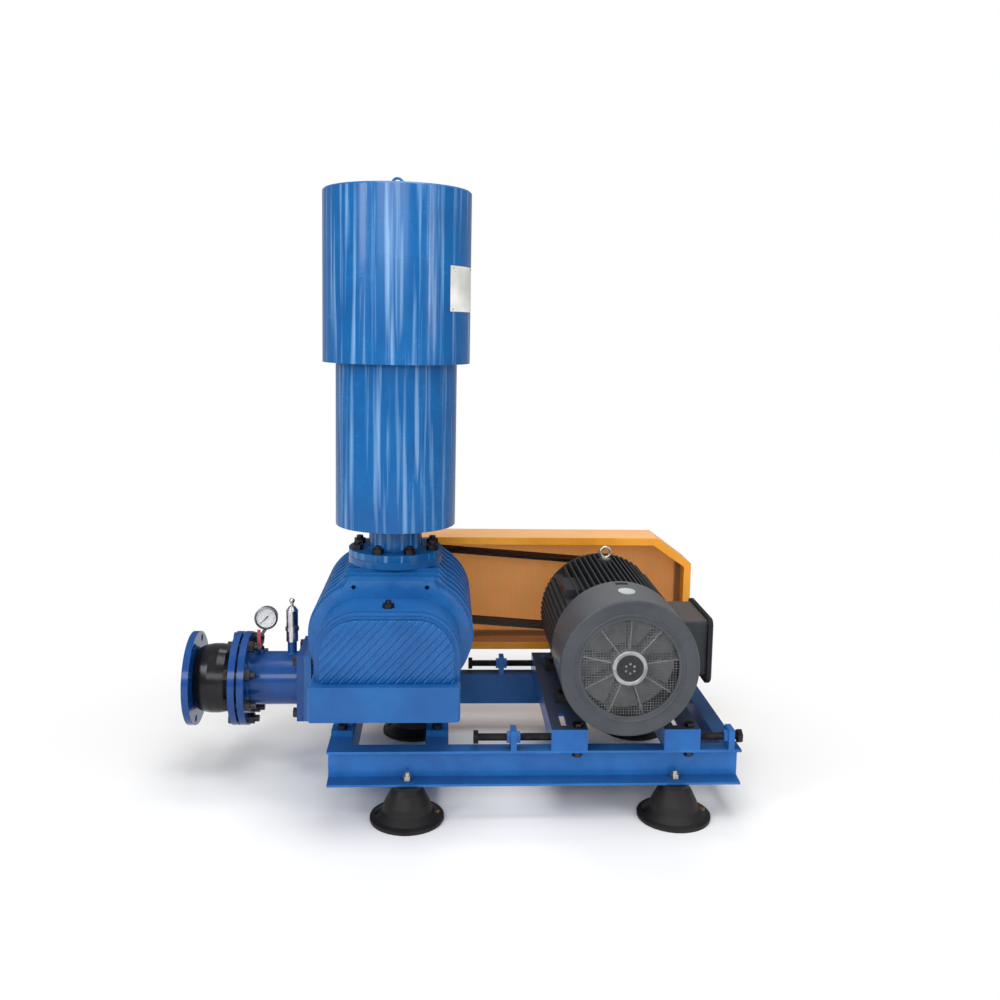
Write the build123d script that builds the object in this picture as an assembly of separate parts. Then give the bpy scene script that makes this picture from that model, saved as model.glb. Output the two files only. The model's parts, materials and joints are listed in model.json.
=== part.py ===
"""Belt-driven three-lobe Roots vacuum pump set on a channel base, all sizes in millimetres.

Lengths are laid out from the base frame's datum: X along the long rails from their left end,
Y from the front rail's front edge towards the belt side, Z up from the rails' underside.
The finished pieces are moved together so that the origin lies on the floor, under the middle
of the set.
"""
import os
from math import atan2, cos, degrees, hypot, pi, radians, sin, sqrt

from build123d import *

# ---- base frame -------------------------------------------------------------------------
FRAME_LENGTH = 1140.0
FRAME_WIDTH = 660.0
CHANNEL_HEIGHT = 100.0
CHANNEL_FLANGE = 48.0
CHANNEL_WEB = 5.3
CHANNEL_FLANGE_THICKNESS = 8.5
BEAM_WIDTH = 64.0
BEAM_WALL = 5.0

# ---- rubber feet ------------------------------------------------------------------------
FOOT_HEIGHT = 100.0
FOOT_TOP_RADIUS = 39.0
FOOT_WAIST_RADIUS = 63.0
FOOT_BASE_RADIUS = 102.0
FOOT_BASE_THICKNESS = 9.0
FOOT_LEFT_INSET = 218.0
FOOT_RIGHT_INSET = 179.0
FOOT_BOLT_OFFSET = 80.0
FOOT_BOLT_HOLE_RADIUS = 7.0
FOOT_STUD_RADIUS = 8.0

# ---- blower -----------------------------------------------------------------------------
BLOWER_X = 165.0
ROTOR_Z = 384.0
ROTOR_SPACING = 156.0
ROTOR_LOBES = 3
ROTOR_CLEARANCE = 0.3
PLATE_Y = 100.0
PLATE_THICKNESS = 50.0
PLATE_RADIUS = 148.0
PLATE_TOP = 548.0
ROTOR_LENGTH = 470.0
CASING_WALL = 14.0
RIB_RADIUS = 155.0
RIB_THICKNESS = 11.0
RIB_COUNT = 9
SHAFT_RADIUS = 27.5
BEARING_RADIUS = 50.0
BEARING_WIDTH = 29.0
RUNNING_CLEARANCE = 0.05
FOOT_SPACING = 266.0
BLOWER_FOOT_DEPTH = 50.0
BLOWER_LEG_THICKNESS = 16.0
BLOWER_FOOT_HEIGHT = 18.0
BLOWER_FOOT_BOLT_INSET = 17.0
DISCHARGE_BOX_TOP_DROP = 100.0
DISCHARGE_BOX_HALF_DEPTH = 98.0
DISCHARGE_BOX_GAP = 4.0
REAR_COVER_THICKNESS = 8.0
SHAFT_END_SETBACK = 8.0

# ---- gear case --------------------------------------------------------------------------
GEAR_CASE_RADIUS = 116.0
GEAR_CASE_PANEL_RADIUS = 92.0
GEAR_CASE_DEPTH = 155.0
GEAR_CASE_NOSE = 26.0
GEAR_CASE_BOTTOM = 217.0
GEAR_CASE_LEDGE = 312.0
GEAR_CASE_BOX_DEPTH = 187.0
GEAR_CASE_BOX_LEFT = 204.0
GEAR_CASE_WALL = 12.0
GROOVE_ANGLE = 47.0
GROOVE_PITCH = 24.0
GROOVE_WIDTH = 7.0
GROOVE_DEPTH = 4.0
GEAR_TEETH = 39
GEAR_WIDTH = 40.0
GEAR_BACKLASH = 0.6
GEAR_SETBACK = 16.0
GEAR_NUT_WIDTH = 8.0
OIL_PLUG_SETBACK = 95.0
OIL_PLUG_RADIUS = 9.0
SUMP_CORNER_RADIUS = 9.0
GROOVE_MARGIN = 12.0

# ---- pipe work --------------------------------------------------------------------------
FLANGE_RADIUS = 140.0
FLANGE_THICKNESS = 20.0
BOLT_CIRCLE = 240.0
BOLT_COUNT = 8
BOLT_HOLE_RADIUS = 11.5
PLANT_HOLE_RADIUS = 11.0
BOLT_RADIUS = 10.0
BORE_RADIUS = 75.0
PIPE_RADIUS = 79.5
INLET_FLANGE_BOTTOM = 542.0
GASKET_THICKNESS = 2.0
OUTLET_Z = 172.0
OUTLET_THROAT_RADIUS = 54.0
OUTLET_NECK_HALF_WIDTH = 62.0
OUTLET_FACE_X = -98.0
SQUARE_FLANGE_SIZE = 200.0
SQUARE_BOLT_INSET = 20.0
SQUARE_FLANGE_THICKNESS = 20.0
OUTLET_PIPE_LENGTH = 190.0
JOINT_LENGTH = 165.0
JOINT_LIP = 6.0
JOINT_RUBBER_WALL = 9.0
JOINT_ARCH_RADIUS = 104.0
JOINT_COLLAR_WIDTH = 31.0
SQUARE_BOLT_RADIUS = 9.0
STUD_TAIL = 8.0
JOINT_BOLT_TAIL = 14.0
SEAT_GAP = 0.3

# ---- silencer ---------------------------------------------------------------------------
SILENCER_RADIUS = 179.0
SILENCER_BOTTOM = 658.0
SILENCER_HEIGHT = 760.0
HOOD_RADIUS = 217.0
HOOD_BOTTOM = 1140.0
HOOD_TOP = 1637.0
SHEET = 3.0
FILTER_RADIUS = 150.0
FILTER_HEIGHT = 150.0
CORE_RADIUS = 82.0
CORE_SHEET = 2.0
FILTER_DEPTH = 32.0
TIE_ROD_RADIUS = 6.0
TIE_BRIDGE_DROP = 40.0
TIE_BRIDGE_HEIGHT = 6.0
TIE_BRIDGE_WIDTH = 24.0
LOOP_RADIUS = 15.0
LOOP_RISE = 22.0
LOOP_WIRE_RADIUS = 4.0

# ---- gauge and relief valve -------------------------------------------------------------
GAUGE_X = -243.0
GAUGE_RADIUS = 35.0
GAUGE_Z = 362.0
RELIEF_X = -147.0
GAUGE_OFFSET = 20.0
GAUGE_FRONT_REACH = 16.0
GAUGE_BACK_REACH = 12.0
COCK_HEIGHT = 40.0
COCK_BODY_RADIUS = 10.0
COCK_FRONT_REACH = 19.0
LEVER_LENGTH = 48.0
LEVER_WIDTH = 10.0
GAUGE_STUB_RISE = 10.0
RELIEF_RADIUS = 18.0
RELIEF_HEIGHT = 96.0
RELIEF_WALL = 4.0
RELIEF_KNOB_RADIUS = 8.5
SPRING_RADIUS = 9.0
SPRING_WIRE_RADIUS = 1.6
SPRING_TURNS = 6
VALVE_DISC_Z = 16.0
SPRING_SPACE = 76.0
STUB_HEIGHT = 288.0

# ---- motor ------------------------------------------------------------------------------
MOTOR_X = 817.0
SHAFT_HEIGHT = 180.0
SLIDE_RAIL_HEIGHT = 60.0
SLIDE_RAIL_WIDTH = 100.0
SLIDE_RAIL_WALL = 8.0
SLIDE_RAIL_SPACING = 312.0
MOTOR_FOOT_SPACING = 279.0
COWL_FRONT_Y = -24.0
COWL_LENGTH = 200.0
COWL_RADIUS = 191.0
COWL_WALL = 3.0
GRILLE_RADIUS = 134.0
BARREL_RADIUS = 152.0
FIN_RADIUS = 189.0
FIN_THICKNESS = 5.0
FIN_PITCH = 15.5
BARREL_LENGTH = 375.0
MOTOR_SHAFT_RADIUS = 24.0
STATOR_RADIUS = 138.0
FAN_RADIUS = 140.0
FAN_BLADES = 9
GRILLE_WIRES = 9
CORE_Y0 = 250.0
CORE_Y1 = 480.0
MOTOR_FOOT_YS = (230.0, 509.0)
EYEBOLT_Y = 444.0
TERMINAL_X = 1000.0
TERMINAL_Y = 317.5
TERMINAL_DEPTH = 85.0
TERMINAL_HALF_LENGTH = 112.0
TERMINAL_BELOW = 105.0
TERMINAL_ABOVE = 65.0
TERMINAL_WALL = 6.0
TERMINAL_CORNER_RADIUS = 12.0
TERMINAL_LID_THICKNESS = 15.0
TERMINAL_LID_OVERHANG = 15.0
GLAND_SPACING = 90.0
GLAND_RADIUS = 16.0
EYEBOLT_BOSS_RADIUS = 22.0
EYEBOLT_BOSS_RISE = 4.0
EYEBOLT_RING_RADIUS = 16.0
EYEBOLT_WIRE_RADIUS = 4.5
CORE_RADIUS_MOTOR = 92.0
AIR_GAP = 0.6
WINDING_REACH = 38.0
MOTOR_BOLT_RADIUS = 8.0
MOTOR_FOOT_OUTSET = 10.0
MOTOR_FOOT_THICKNESS = 20.0
MOTOR_FOOT_HALF_LENGTH = 34.0
SHIELD_DEPTH_FRONT = 40.0
SHIELD_DEPTH_REAR = 88.0
CORNER_PAD_REACH = 146.0
CORNER_PAD_SIZE = 60.0
CORNER_PAD_SETBACK = 70.0
CORNER_PAD_LENGTH = 150.0
COWL_SLOT_WIDTH = 36.0
COWL_SLOT_LENGTH = 24.0
COWL_SLOT_SETBACK = 14.0
COWL_EDGE_RADIUS = 7.0
FAN_SETBACK = 22.0
FAN_DEPTH = 74.0
FAN_HUB_RADIUS = 46.0
FAN_BLADE_THICKNESS = 4.0
GRILLE_WIRE = 2.0

# ---- belt drive -------------------------------------------------------------------------
BELT_STANDOFF = 70.0
PULLEY_RADIUS = 123.0
BELT_COUNT = 4
BELT_PITCH = 19.0
BELT_TOP_WIDTH = 16.5
BELT_HEIGHT = 11.0
BELT_RISE = 1.5
BELT_CLEARANCE = 0.4
GUARD_LEFT = 88.0
GUARD_RIGHT = 1150.0
GUARD_STANDOFF = 10.0
GUARD_DEPTH = 145.0
GUARD_BOTTOM = 165.0
GUARD_TOP = 550.0
GUARD_CHAMFER_X = 118.0
GUARD_CHAMFER_Z = 86.0
GUARD_LIP = 24.0
GUARD_SHEET = 2.5
BRACKET_SHEET = 6.0
BRACKET_SETBACK = 27.0
BRACKET_HALF_WIDTH = 22.0

# ---- jack bolts -------------------------------------------------------------------------
JACK_Z_ABOVE_RAIL = 31.0
JACK_RADIUS = 10.0
JACK_HEAD_FLATS = 34.0
JACK_HEAD_HEIGHT = 13.0
JACK_BRACKET_THICKNESS = 16.0
JACK_BRACKET_HEIGHT = 56.0
JACK_LEFT_LENGTH = 200.0
JACK_RIGHT_LENGTH = 108.0
JACK_NUT_HEIGHT = 10.0
JACK_LEFT_REACH = 103.0
JACK_RIGHT_REACH = 88.0
CARRIAGE_TRAVEL_OUT = 20.0
CARRIAGE_TRAVEL_IN = 8.0
CLAMP_BOLT_RADIUS = 8.0
CLAMP_BOLT_OFFSET = 24.0

# ---- derived places ---------------------------------------------------------------------
RAIL_TOP = CHANNEL_HEIGHT
FRONT_MID_Y = CHANNEL_FLANGE / 2
REAR_MID_Y = FRAME_WIDTH - CHANNEL_FLANGE / 2
FOOT_XS = (FOOT_LEFT_INSET, FRAME_LENGTH - FOOT_RIGHT_INSET)
FOOT_YS = (FRONT_MID_Y, REAR_MID_Y)
ROTOR_RADIUS = ROTOR_SPACING / 2 * (1 + 1 / ROTOR_LOBES)
CHAMBER_RADIUS = ROTOR_RADIUS + ROTOR_CLEARANCE
DRIVEN_X = BLOWER_X - ROTOR_SPACING / 2
DRIVE_X = BLOWER_X + ROTOR_SPACING / 2
CASING_Y = PLATE_Y + PLATE_THICKNESS
CASING_END_Y = CASING_Y + ROTOR_LENGTH
REAR_PLATE_END_Y = CASING_END_Y + PLATE_THICKNESS
PORT_Y = (CASING_Y + CASING_END_Y) / 2
INLET_FACE_Z = INLET_FLANGE_BOTTOM + FLANGE_THICKNESS
SILENCER_FLANGE_Z = INLET_FACE_Z + GASKET_THICKNESS
MOTOR_Z = RAIL_TOP + SLIDE_RAIL_HEIGHT + SHAFT_HEIGHT
COWL_END_Y = COWL_FRONT_Y + COWL_LENGTH
BARREL_END_Y = COWL_END_Y + BARREL_LENGTH
BELT_WIDTH = BELT_COUNT * BELT_PITCH
BELT_Y = REAR_PLATE_END_Y + BELT_STANDOFF
GUARD_FRONT = REAR_PLATE_END_Y + GUARD_STANDOFF
PULLEY_FRONT_Y = BELT_Y - BELT_WIDTH / 2 - 2.0
PULLEY_BACK_Y = BELT_Y + BELT_WIDTH / 2 + 2.0
RAIL_XS = (MOTOR_X - SLIDE_RAIL_SPACING / 2, MOTOR_X + SLIDE_RAIL_SPACING / 2)
PIPE_START_X = OUTLET_FACE_X - GASKET_THICKNESS
PIPE_END_X = PIPE_START_X - OUTLET_PIPE_LENGTH
JOINT_START_X = PIPE_END_X - SEAT_GAP
JOINT_END_X = JOINT_START_X - JOINT_LENGTH
JACK_Z = RAIL_TOP + JACK_Z_ABOVE_RAIL


# ---- shape helpers ----------------------------------------------------------------------
def block(x0, x1, y0, y1, z0, z1):
    """Box between two corners."""
    return Pos((x0 + x1) / 2, (y0 + y1) / 2, (z0 + z1) / 2) * Box(x1 - x0, y1 - y0, z1 - z0)


def rod_x(y, z, x0, x1, radius):
    """Round bar along X."""
    return Pos((x0 + x1) / 2, y, z) * Rot(0, 90, 0) * Cylinder(radius, x1 - x0)


def rod_y(x, z, y0, y1, radius):
    """Round bar along Y."""
    return Pos(x, (y0 + y1) / 2, z) * Rot(90, 0, 0) * Cylinder(radius, y1 - y0)


def rod_z(x, y, z0, z1, radius):
    """Round bar along Z."""
    return Pos(x, y, (z0 + z1) / 2) * Cylinder(radius, z1 - z0)


def along_y(sketch, y0, y1):
    """Extrude a sketch drawn in (X, Z) from y0 to y1."""
    plane = Plane(origin=(0, y1, 0), x_dir=(1, 0, 0), z_dir=(0, -1, 0))
    return extrude(plane * sketch, y1 - y0, plane.z_dir)


def along_x(sketch, x0, x1):
    """Extrude a sketch drawn in (Y, Z) from x0 to x1."""
    plane = Plane(origin=(x0, 0, 0), x_dir=(0, 1, 0), z_dir=(1, 0, 0))
    return extrude(plane * sketch, x1 - x0, plane.z_dir)


def turned(points, axis_x, axis_y, axis_z=0.0):
    """Solid of revolution about a vertical axis, from (radius, z) points."""
    outline = Plane.XZ * Polygon(*points, align=None)
    return Pos(axis_x, axis_y, axis_z) * revolve(outline, Axis.Z)


def turned_y(points, axis_x, axis_z):
    """Solid of revolution about a line along Y, from (radius, y) points."""
    outline = Plane.XY * Polygon(*points, align=None)
    return Pos(axis_x, 0, axis_z) * revolve(outline, Axis.Y)


def turned_x(points, axis_y, axis_z):
    """Solid of revolution about a line along X, from (x, radius) points."""
    outline = Plane.XY * Polygon(*points, align=None)
    return Pos(0, axis_y, axis_z) * revolve(outline, Axis.X)


def hexagon_bar(across_flats, height):
    """Hexagonal prism standing on the XY plane."""
    return extrude(RegularPolygon(across_flats / sqrt(3), 6), height)


def twin_circles(radius):
    """Outline round both rotor axes, drawn in (X, Z)."""
    middle = Pos(BLOWER_X, ROTOR_Z) * Rectangle(ROTOR_SPACING, 2 * radius)
    left = Pos(DRIVEN_X, ROTOR_Z) * Circle(radius)
    right = Pos(DRIVE_X, ROTOR_Z) * Circle(radius)
    return middle + left + right


def twin_bores(radius):
    """Two overlapping circles on the rotor axes, which leave the cusps between them standing."""
    return Pos(DRIVEN_X, ROTOR_Z) * Circle(radius) + Pos(DRIVE_X, ROTOR_Z) * Circle(radius)


def bolt_places(count, circle):
    """Bolt positions round a circle, straddling the centre lines."""
    step = 2 * pi / count
    return [(circle / 2 * cos((i + 0.5) * step), circle / 2 * sin((i + 0.5) * step)) for i in range(count)]


def flange_disc(thickness, bore, hole_radius=BOLT_HOLE_RADIUS):
    """Round pipe flange with its bolt holes, standing on the XY plane."""
    disc = Cylinder(FLANGE_RADIUS, thickness) - Cylinder(bore, 2 * thickness)
    for u, v in bolt_places(BOLT_COUNT, BOLT_CIRCLE):
        disc -= Pos(u, v, 0) * Cylinder(hole_radius, 2 * thickness)
    return Pos(0, 0, thickness / 2) * disc


def flange_stud(depth, grip, radius, tail):
    """Stud along +Z, screwed in below Z = 0 by its depth, with its nut above the grip."""
    nut_height = 0.8 * 2 * radius
    top = grip + nut_height + tail
    shank = Pos(0, 0, (top - depth) / 2) * Cylinder(radius, top + depth)
    return shank + Pos(0, 0, grip) * hexagon_bar(1.5 * 2 * radius, nut_height)


def flange_bolt(grip, radius=BOLT_RADIUS, tail=8.0):
    """Bolt along +Z: head under Z = 0, nut and thread end above the grip."""
    head_height = 0.7 * 2 * radius
    nut_height = 0.8 * 2 * radius
    flats = 1.5 * 2 * radius
    shank = Pos(0, 0, (grip + nut_height + tail) / 2) * Cylinder(radius, grip + nut_height + tail)
    head = Pos(0, 0, -head_height) * hexagon_bar(flats, head_height)
    nut = Pos(0, 0, grip) * hexagon_bar(flats, nut_height)
    return shank + head + nut


def gather(pieces):
    """Keep separate solids together as one node."""
    solids = []
    for piece in pieces:
        solids.extend(piece.solids())
    return Compound(solids)


# ---- base frame -------------------------------------------------------------------------
def channel_section(web_at_far_side):
    """Rolled channel drawn in (Y, Z), open to the front or to the back, with tapered flanges."""
    web = CHANNEL_WEB
    tip = CHANNEL_FLANGE_THICKNESS * 0.75
    root = CHANNEL_FLANGE_THICKNESS * 1.25
    points = [
        (CHANNEL_FLANGE, 0), (CHANNEL_FLANGE, CHANNEL_HEIGHT), (0, CHANNEL_HEIGHT),
        (0, CHANNEL_HEIGHT - tip), (CHANNEL_FLANGE - web, CHANNEL_HEIGHT - root),
        (CHANNEL_FLANGE - web, root), (0, tip), (0, 0),
    ]
    if not web_at_far_side:
        points = [(CHANNEL_FLANGE - y, z) for y, z in points]
    return Polygon(*points, align=None)


def slot_cut(x, y, length, radius, z0, z1):
    """Cutter for a slot along X with round ends."""
    half = length / 2 - radius
    return (block(x - half, x + half, y - radius, y + radius, z0, z1)
            + rod_z(x - half, y, z0, z1, radius) + rod_z(x + half, y, z0, z1, radius))


def make_long_rail(y0, web_at_far_side):
    """Front or rear rail with its stud holes and the slots for the carriage clamps."""
    rail = Pos(0, y0, 0) * along_x(channel_section(web_at_far_side), 0, FRAME_LENGTH)
    mid_y = y0 + CHANNEL_FLANGE / 2
    for x in FOOT_XS:
        rail -= rod_z(x, mid_y, -1, CHANNEL_FLANGE_THICKNESS * 2, FOOT_STUD_RADIUS + SEAT_GAP)
    shift = (CARRIAGE_TRAVEL_OUT - CARRIAGE_TRAVEL_IN) / 2
    slot_length = CARRIAGE_TRAVEL_OUT + CARRIAGE_TRAVEL_IN + 2 * CLAMP_BOLT_RADIUS + 6
    for x in RAIL_XS:
        rail -= slot_cut(x + CLAMP_BOLT_OFFSET + shift, mid_y, slot_length, CLAMP_BOLT_RADIUS + 1,
                         CHANNEL_HEIGHT - 2 * CHANNEL_FLANGE_THICKNESS, CHANNEL_HEIGHT + 1)
    return rail


def make_beam(x0):
    """Box-section beam across the frame that carries the blower's feet."""
    outer = block(x0, x0 + BEAM_WIDTH, CHANNEL_FLANGE, FRAME_WIDTH - CHANNEL_FLANGE, 0, RAIL_TOP)
    inner = block(x0 + BEAM_WALL, x0 + BEAM_WIDTH - BEAM_WALL, CHANNEL_FLANGE - 1,
                  FRAME_WIDTH - CHANNEL_FLANGE + 1, BEAM_WALL, RAIL_TOP - BEAM_WALL)
    return outer - inner


def make_end_channel():
    """Channel that closes the frame at the motor end, open side outwards."""
    web = CHANNEL_WEB
    thick = CHANNEL_FLANGE_THICKNESS
    x0 = FRAME_LENGTH - CHANNEL_FLANGE
    outline = Polygon((x0, 0), (FRAME_LENGTH, 0), (FRAME_LENGTH, thick), (x0 + web, thick),
                      (x0 + web, RAIL_TOP - thick), (FRAME_LENGTH, RAIL_TOP - thick),
                      (FRAME_LENGTH, RAIL_TOP), (x0, RAIL_TOP), align=None)
    return along_y(outline, CHANNEL_FLANGE, FRAME_WIDTH - CHANNEL_FLANGE)


def make_rubber_foot(x, y):
    """Bell-shaped rubber mount with a bolted base, its top face under the rail."""
    base_top = FOOT_BASE_THICKNESS - FOOT_HEIGHT
    bell = turned([
        (FOOT_STUD_RADIUS + SEAT_GAP, -FOOT_HEIGHT), (FOOT_BASE_RADIUS, -FOOT_HEIGHT),
        (FOOT_BASE_RADIUS, base_top), (FOOT_BASE_RADIUS - 14, base_top + 4), (FOOT_WAIST_RADIUS + 6, -72),
        (FOOT_WAIST_RADIUS, -52), (FOOT_TOP_RADIUS + 9, -22), (FOOT_TOP_RADIUS, -10), (FOOT_TOP_RADIUS, 0),
        (FOOT_STUD_RADIUS + SEAT_GAP, 0)], x, y)
    for side in (-1, 1):
        bell -= rod_z(x + side * FOOT_BOLT_OFFSET, y, -FOOT_HEIGHT - 1, -60, FOOT_BOLT_HOLE_RADIUS)
        bell -= rod_z(x + side * FOOT_BOLT_OFFSET, y, base_top + 4, -60, FOOT_BOLT_HOLE_RADIUS + 4)
    return bell


def make_foot_stud(x, y):
    """Stud moulded into the bell, with its nut on the rail's lower flange."""
    nut_z = CHANNEL_FLANGE_THICKNESS + 2.0
    stud = rod_z(x, y, -70, nut_z + 22, FOOT_STUD_RADIUS)
    return stud + Pos(x, y, nut_z) * hexagon_bar(24, 13)


def make_foot_screw(x, y):
    """Brass floor screw in the base of each foot."""
    base_top = FOOT_BASE_THICKNESS - FOOT_HEIGHT
    shank = rod_z(x + FOOT_BOLT_OFFSET, y, -FOOT_HEIGHT, base_top + 5, FOOT_BOLT_HOLE_RADIUS - SEAT_GAP)
    return shank + Pos(x + FOOT_BOLT_OFFSET, y, base_top + 4) * hexagon_bar(15, 9)


def base_frame_nodes():
    foot_places = [(x, y) for x in FOOT_XS for y in FOOT_YS]
    beam_xs = [BLOWER_X + side * FOOT_SPACING / 2 - BEAM_WIDTH / 2 for side in (-1, 1)]
    return {
        "front_rail": make_long_rail(0, True),
        "rear_rail": make_long_rail(FRAME_WIDTH - CHANNEL_FLANGE, False),
        "cross_beams": gather(make_beam(x) for x in beam_xs),
        "right_cross_channel": make_end_channel(),
        "rubber_feet": gather(make_rubber_foot(x, y) for x, y in foot_places),
        "foot_fasteners": gather([make_foot_stud(x, y) for x, y in foot_places]
                                 + [make_foot_screw(x, y) for x, y in foot_places]),
    }


# ---- blower -----------------------------------------------------------------------------
def lobe_outline(clearance):
    """Cycloidal rotor outline about the origin, shrunk inwards by a clearance.

    Outside the pitch circle the outline is an epicycloid, inside it a hypocycloid, both
    rolled by circles of one sixth of the pitch radius, so two equal rotors stay in mesh.
    """
    pitch = ROTOR_SPACING / 2
    roll = pitch / (2 * ROTOR_LOBES)
    arcs = []
    ends = []
    steps = 8
    for lobe in range(2 * ROTOR_LOBES):
        outside = lobe % 2 == 0
        start = (lobe - 0.5) * pi / ROTOR_LOBES
        points = []
        for i in range(steps + 1):
            turn = start + i / steps * pi / ROTOR_LOBES
            phase = (turn - start) * pitch / roll
            if outside:
                x = (pitch + roll) * cos(turn) - roll * cos(turn + phase)
                y = (pitch + roll) * sin(turn) - roll * sin(turn + phase)
            else:
                x = (pitch - roll) * cos(turn) + roll * cos(turn - phase)
                y = (pitch - roll) * sin(turn) + roll * sin(turn - phase)
            shrink = 1 - clearance / hypot(x, y)
            points.append((x * shrink, y * shrink))
        arcs.append(Spline(*points))
        ends.append(points[0])
    return make_face(arcs)


def make_rotor(x, turn, shaft_back):
    """One three-lobe rotor with its shaft, as turned and milled from one forging."""
    outline = Pos(x, ROTOR_Z) * Rot(0, 0, turn) * lobe_outline(ROTOR_CLEARANCE)
    lobes = along_y(outline, CASING_Y + ROTOR_CLEARANCE, CASING_END_Y - ROTOR_CLEARANCE)
    shaft = rod_y(x, ROTOR_Z, PLATE_Y - GEAR_SETBACK - GEAR_WIDTH - GEAR_NUT_WIDTH, shaft_back, SHAFT_RADIUS)
    return lobes + shaft


def make_casing():
    """Ribbed casing: twin-bore chamber, inlet tower on top, discharge box and side flange below."""
    tower = FLANGE_RADIUS - 8
    wall = twin_circles(CHAMBER_RADIUS + CASING_WALL)
    body = along_y(wall, CASING_Y, CASING_END_Y)
    body += block(BLOWER_X - BORE_RADIUS - 24, BLOWER_X + BORE_RADIUS + 24, PORT_Y - BORE_RADIUS - 24,
                  PORT_Y + BORE_RADIUS + 24, ROTOR_Z, INLET_FLANGE_BOTTOM + 1)
    box_top = ROTOR_Z - DISCHARGE_BOX_TOP_DROP
    box_bottom = RAIL_TOP + DISCHARGE_BOX_GAP
    deep = DISCHARGE_BOX_HALF_DEPTH
    body += block(BLOWER_X - 215, BLOWER_X + 105, PORT_Y - deep, PORT_Y + deep, box_bottom, box_top)
    body += block(OUTLET_FACE_X, BLOWER_X - 200, PORT_Y - OUTLET_NECK_HALF_WIDTH,
                  PORT_Y + OUTLET_NECK_HALF_WIDTH, box_bottom, box_top - 38)
    side = RIB_RADIUS * cos(radians(28))
    rise = RIB_RADIUS * sin(radians(28))
    half = ROTOR_SPACING / 2 + side
    shoulders = Polygon((BLOWER_X - half, ROTOR_Z + rise), (BLOWER_X + half, ROTOR_Z + rise),
                        (BLOWER_X + tower, INLET_FLANGE_BOTTOM), (BLOWER_X - tower, INLET_FLANGE_BOTTOM),
                        align=None)
    rib = twin_circles(RIB_RADIUS) + shoulders
    step = (ROTOR_LENGTH - RIB_THICKNESS) / (RIB_COUNT - 1)
    for i in range(RIB_COUNT):
        y0 = CASING_Y + i * step
        body += along_y(rib, y0, y0 + RIB_THICKNESS)
    body += Pos(BLOWER_X, PORT_Y, INLET_FLANGE_BOTTOM) * flange_disc(FLANGE_THICKNESS, BORE_RADIUS)
    half_square = SQUARE_FLANGE_SIZE / 2
    body += block(OUTLET_FACE_X, OUTLET_FACE_X + SQUARE_FLANGE_THICKNESS, PORT_Y - half_square,
                  PORT_Y + half_square, OUTLET_Z - half_square, OUTLET_Z + half_square)
    body -= along_y(twin_bores(CHAMBER_RADIUS), CASING_Y - 1, CASING_END_Y + 1)
    body -= rod_z(BLOWER_X, PORT_Y, ROTOR_Z + 20, INLET_FACE_Z + 1, BORE_RADIUS)
    body -= rod_x(PORT_Y, OUTLET_Z, OUTLET_FACE_X - 1, BLOWER_X - 150, OUTLET_THROAT_RADIUS)
    body -= block(BLOWER_X - 200, BLOWER_X + 90, PORT_Y - 80, PORT_Y + 80, box_bottom + 12, box_top - 40)
    body -= block(BLOWER_X - 75, BLOWER_X + 75, PORT_Y - 80, PORT_Y + 80, box_top - 50, ROTOR_Z)
    for u, v in square_bolt_places():
        body -= rod_x(PORT_Y + u, OUTLET_Z + v, OUTLET_FACE_X - 1,
                      OUTLET_FACE_X + SQUARE_FLANGE_THICKNESS + 1, BOLT_HOLE_RADIUS)
    return body


def square_bolt_places():
    """Corner bolts of the square outlet flange."""
    half = SQUARE_FLANGE_SIZE / 2 - SQUARE_BOLT_INSET
    return [(-half, -half), (-half, half), (half, -half), (half, half)]


def make_end_plate(y0, bearing_from_front):
    """Cast end plate with bearing seats, a flat top and two feet."""
    y1 = y0 + PLATE_THICKNESS
    plate = along_y(twin_circles(PLATE_RADIUS), y0, y1)
    head = PLATE_RADIUS + ROTOR_SPACING / 2 - 50
    plate += along_y(Polygon((BLOWER_X - head, ROTOR_Z + 60), (BLOWER_X + head, ROTOR_Z + 60),
                             (BLOWER_X + 118, PLATE_TOP), (BLOWER_X - 118, PLATE_TOP), align=None), y0, y1)
    half_foot = BEAM_WIDTH / 2 - 2
    for side in (-1, 1):
        foot_x = BLOWER_X + side * FOOT_SPACING / 2
        leg_y = y1 - BLOWER_LEG_THICKNESS if bearing_from_front else y0
        plate += block(foot_x - half_foot + 4, foot_x + half_foot - 4, leg_y, leg_y + BLOWER_LEG_THICKNESS,
                       RAIL_TOP, ROTOR_Z - 90)
        foot_y = y0
        plate += block(foot_x - half_foot, foot_x + half_foot, foot_y, foot_y + BLOWER_FOOT_DEPTH,
                       RAIL_TOP, RAIL_TOP + BLOWER_FOOT_HEIGHT)
    for x in (DRIVEN_X, DRIVE_X):
        plate -= rod_y(x, ROTOR_Z, y0 - 1, y1 + 1, SHAFT_RADIUS + 8)
        seat = (y0 - 1, y0 + BEARING_WIDTH) if bearing_from_front else (y1 - BEARING_WIDTH, y1 + 1)
        plate -= rod_y(x, ROTOR_Z, seat[0], seat[1], BEARING_RADIUS)
    for side in (-1, 1):
        plate -= rod_y(BLOWER_X + side * 101, PLATE_TOP - 18, y0 - 1, y0 + 30, 6.5)
    return plate


def make_bearing(x, y0):
    """Rolling bearing drawn as its two rings with the rollers between them."""
    outer = rod_y(x, ROTOR_Z, y0, y0 + BEARING_WIDTH, BEARING_RADIUS)
    return outer - rod_y(x, ROTOR_Z, y0 - 1, y0 + BEARING_WIDTH + 1, SHAFT_RADIUS + RUNNING_CLEARANCE)


def make_shaft_seal(x, y0, y1):
    """Lip seal ring between the rotor chamber and the bearing."""
    ring = rod_y(x, ROTOR_Z, y0, y1, SHAFT_RADIUS + 8)
    return ring - rod_y(x, ROTOR_Z, y0 - 1, y1 + 1, SHAFT_RADIUS + RUNNING_CLEARANCE)


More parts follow.
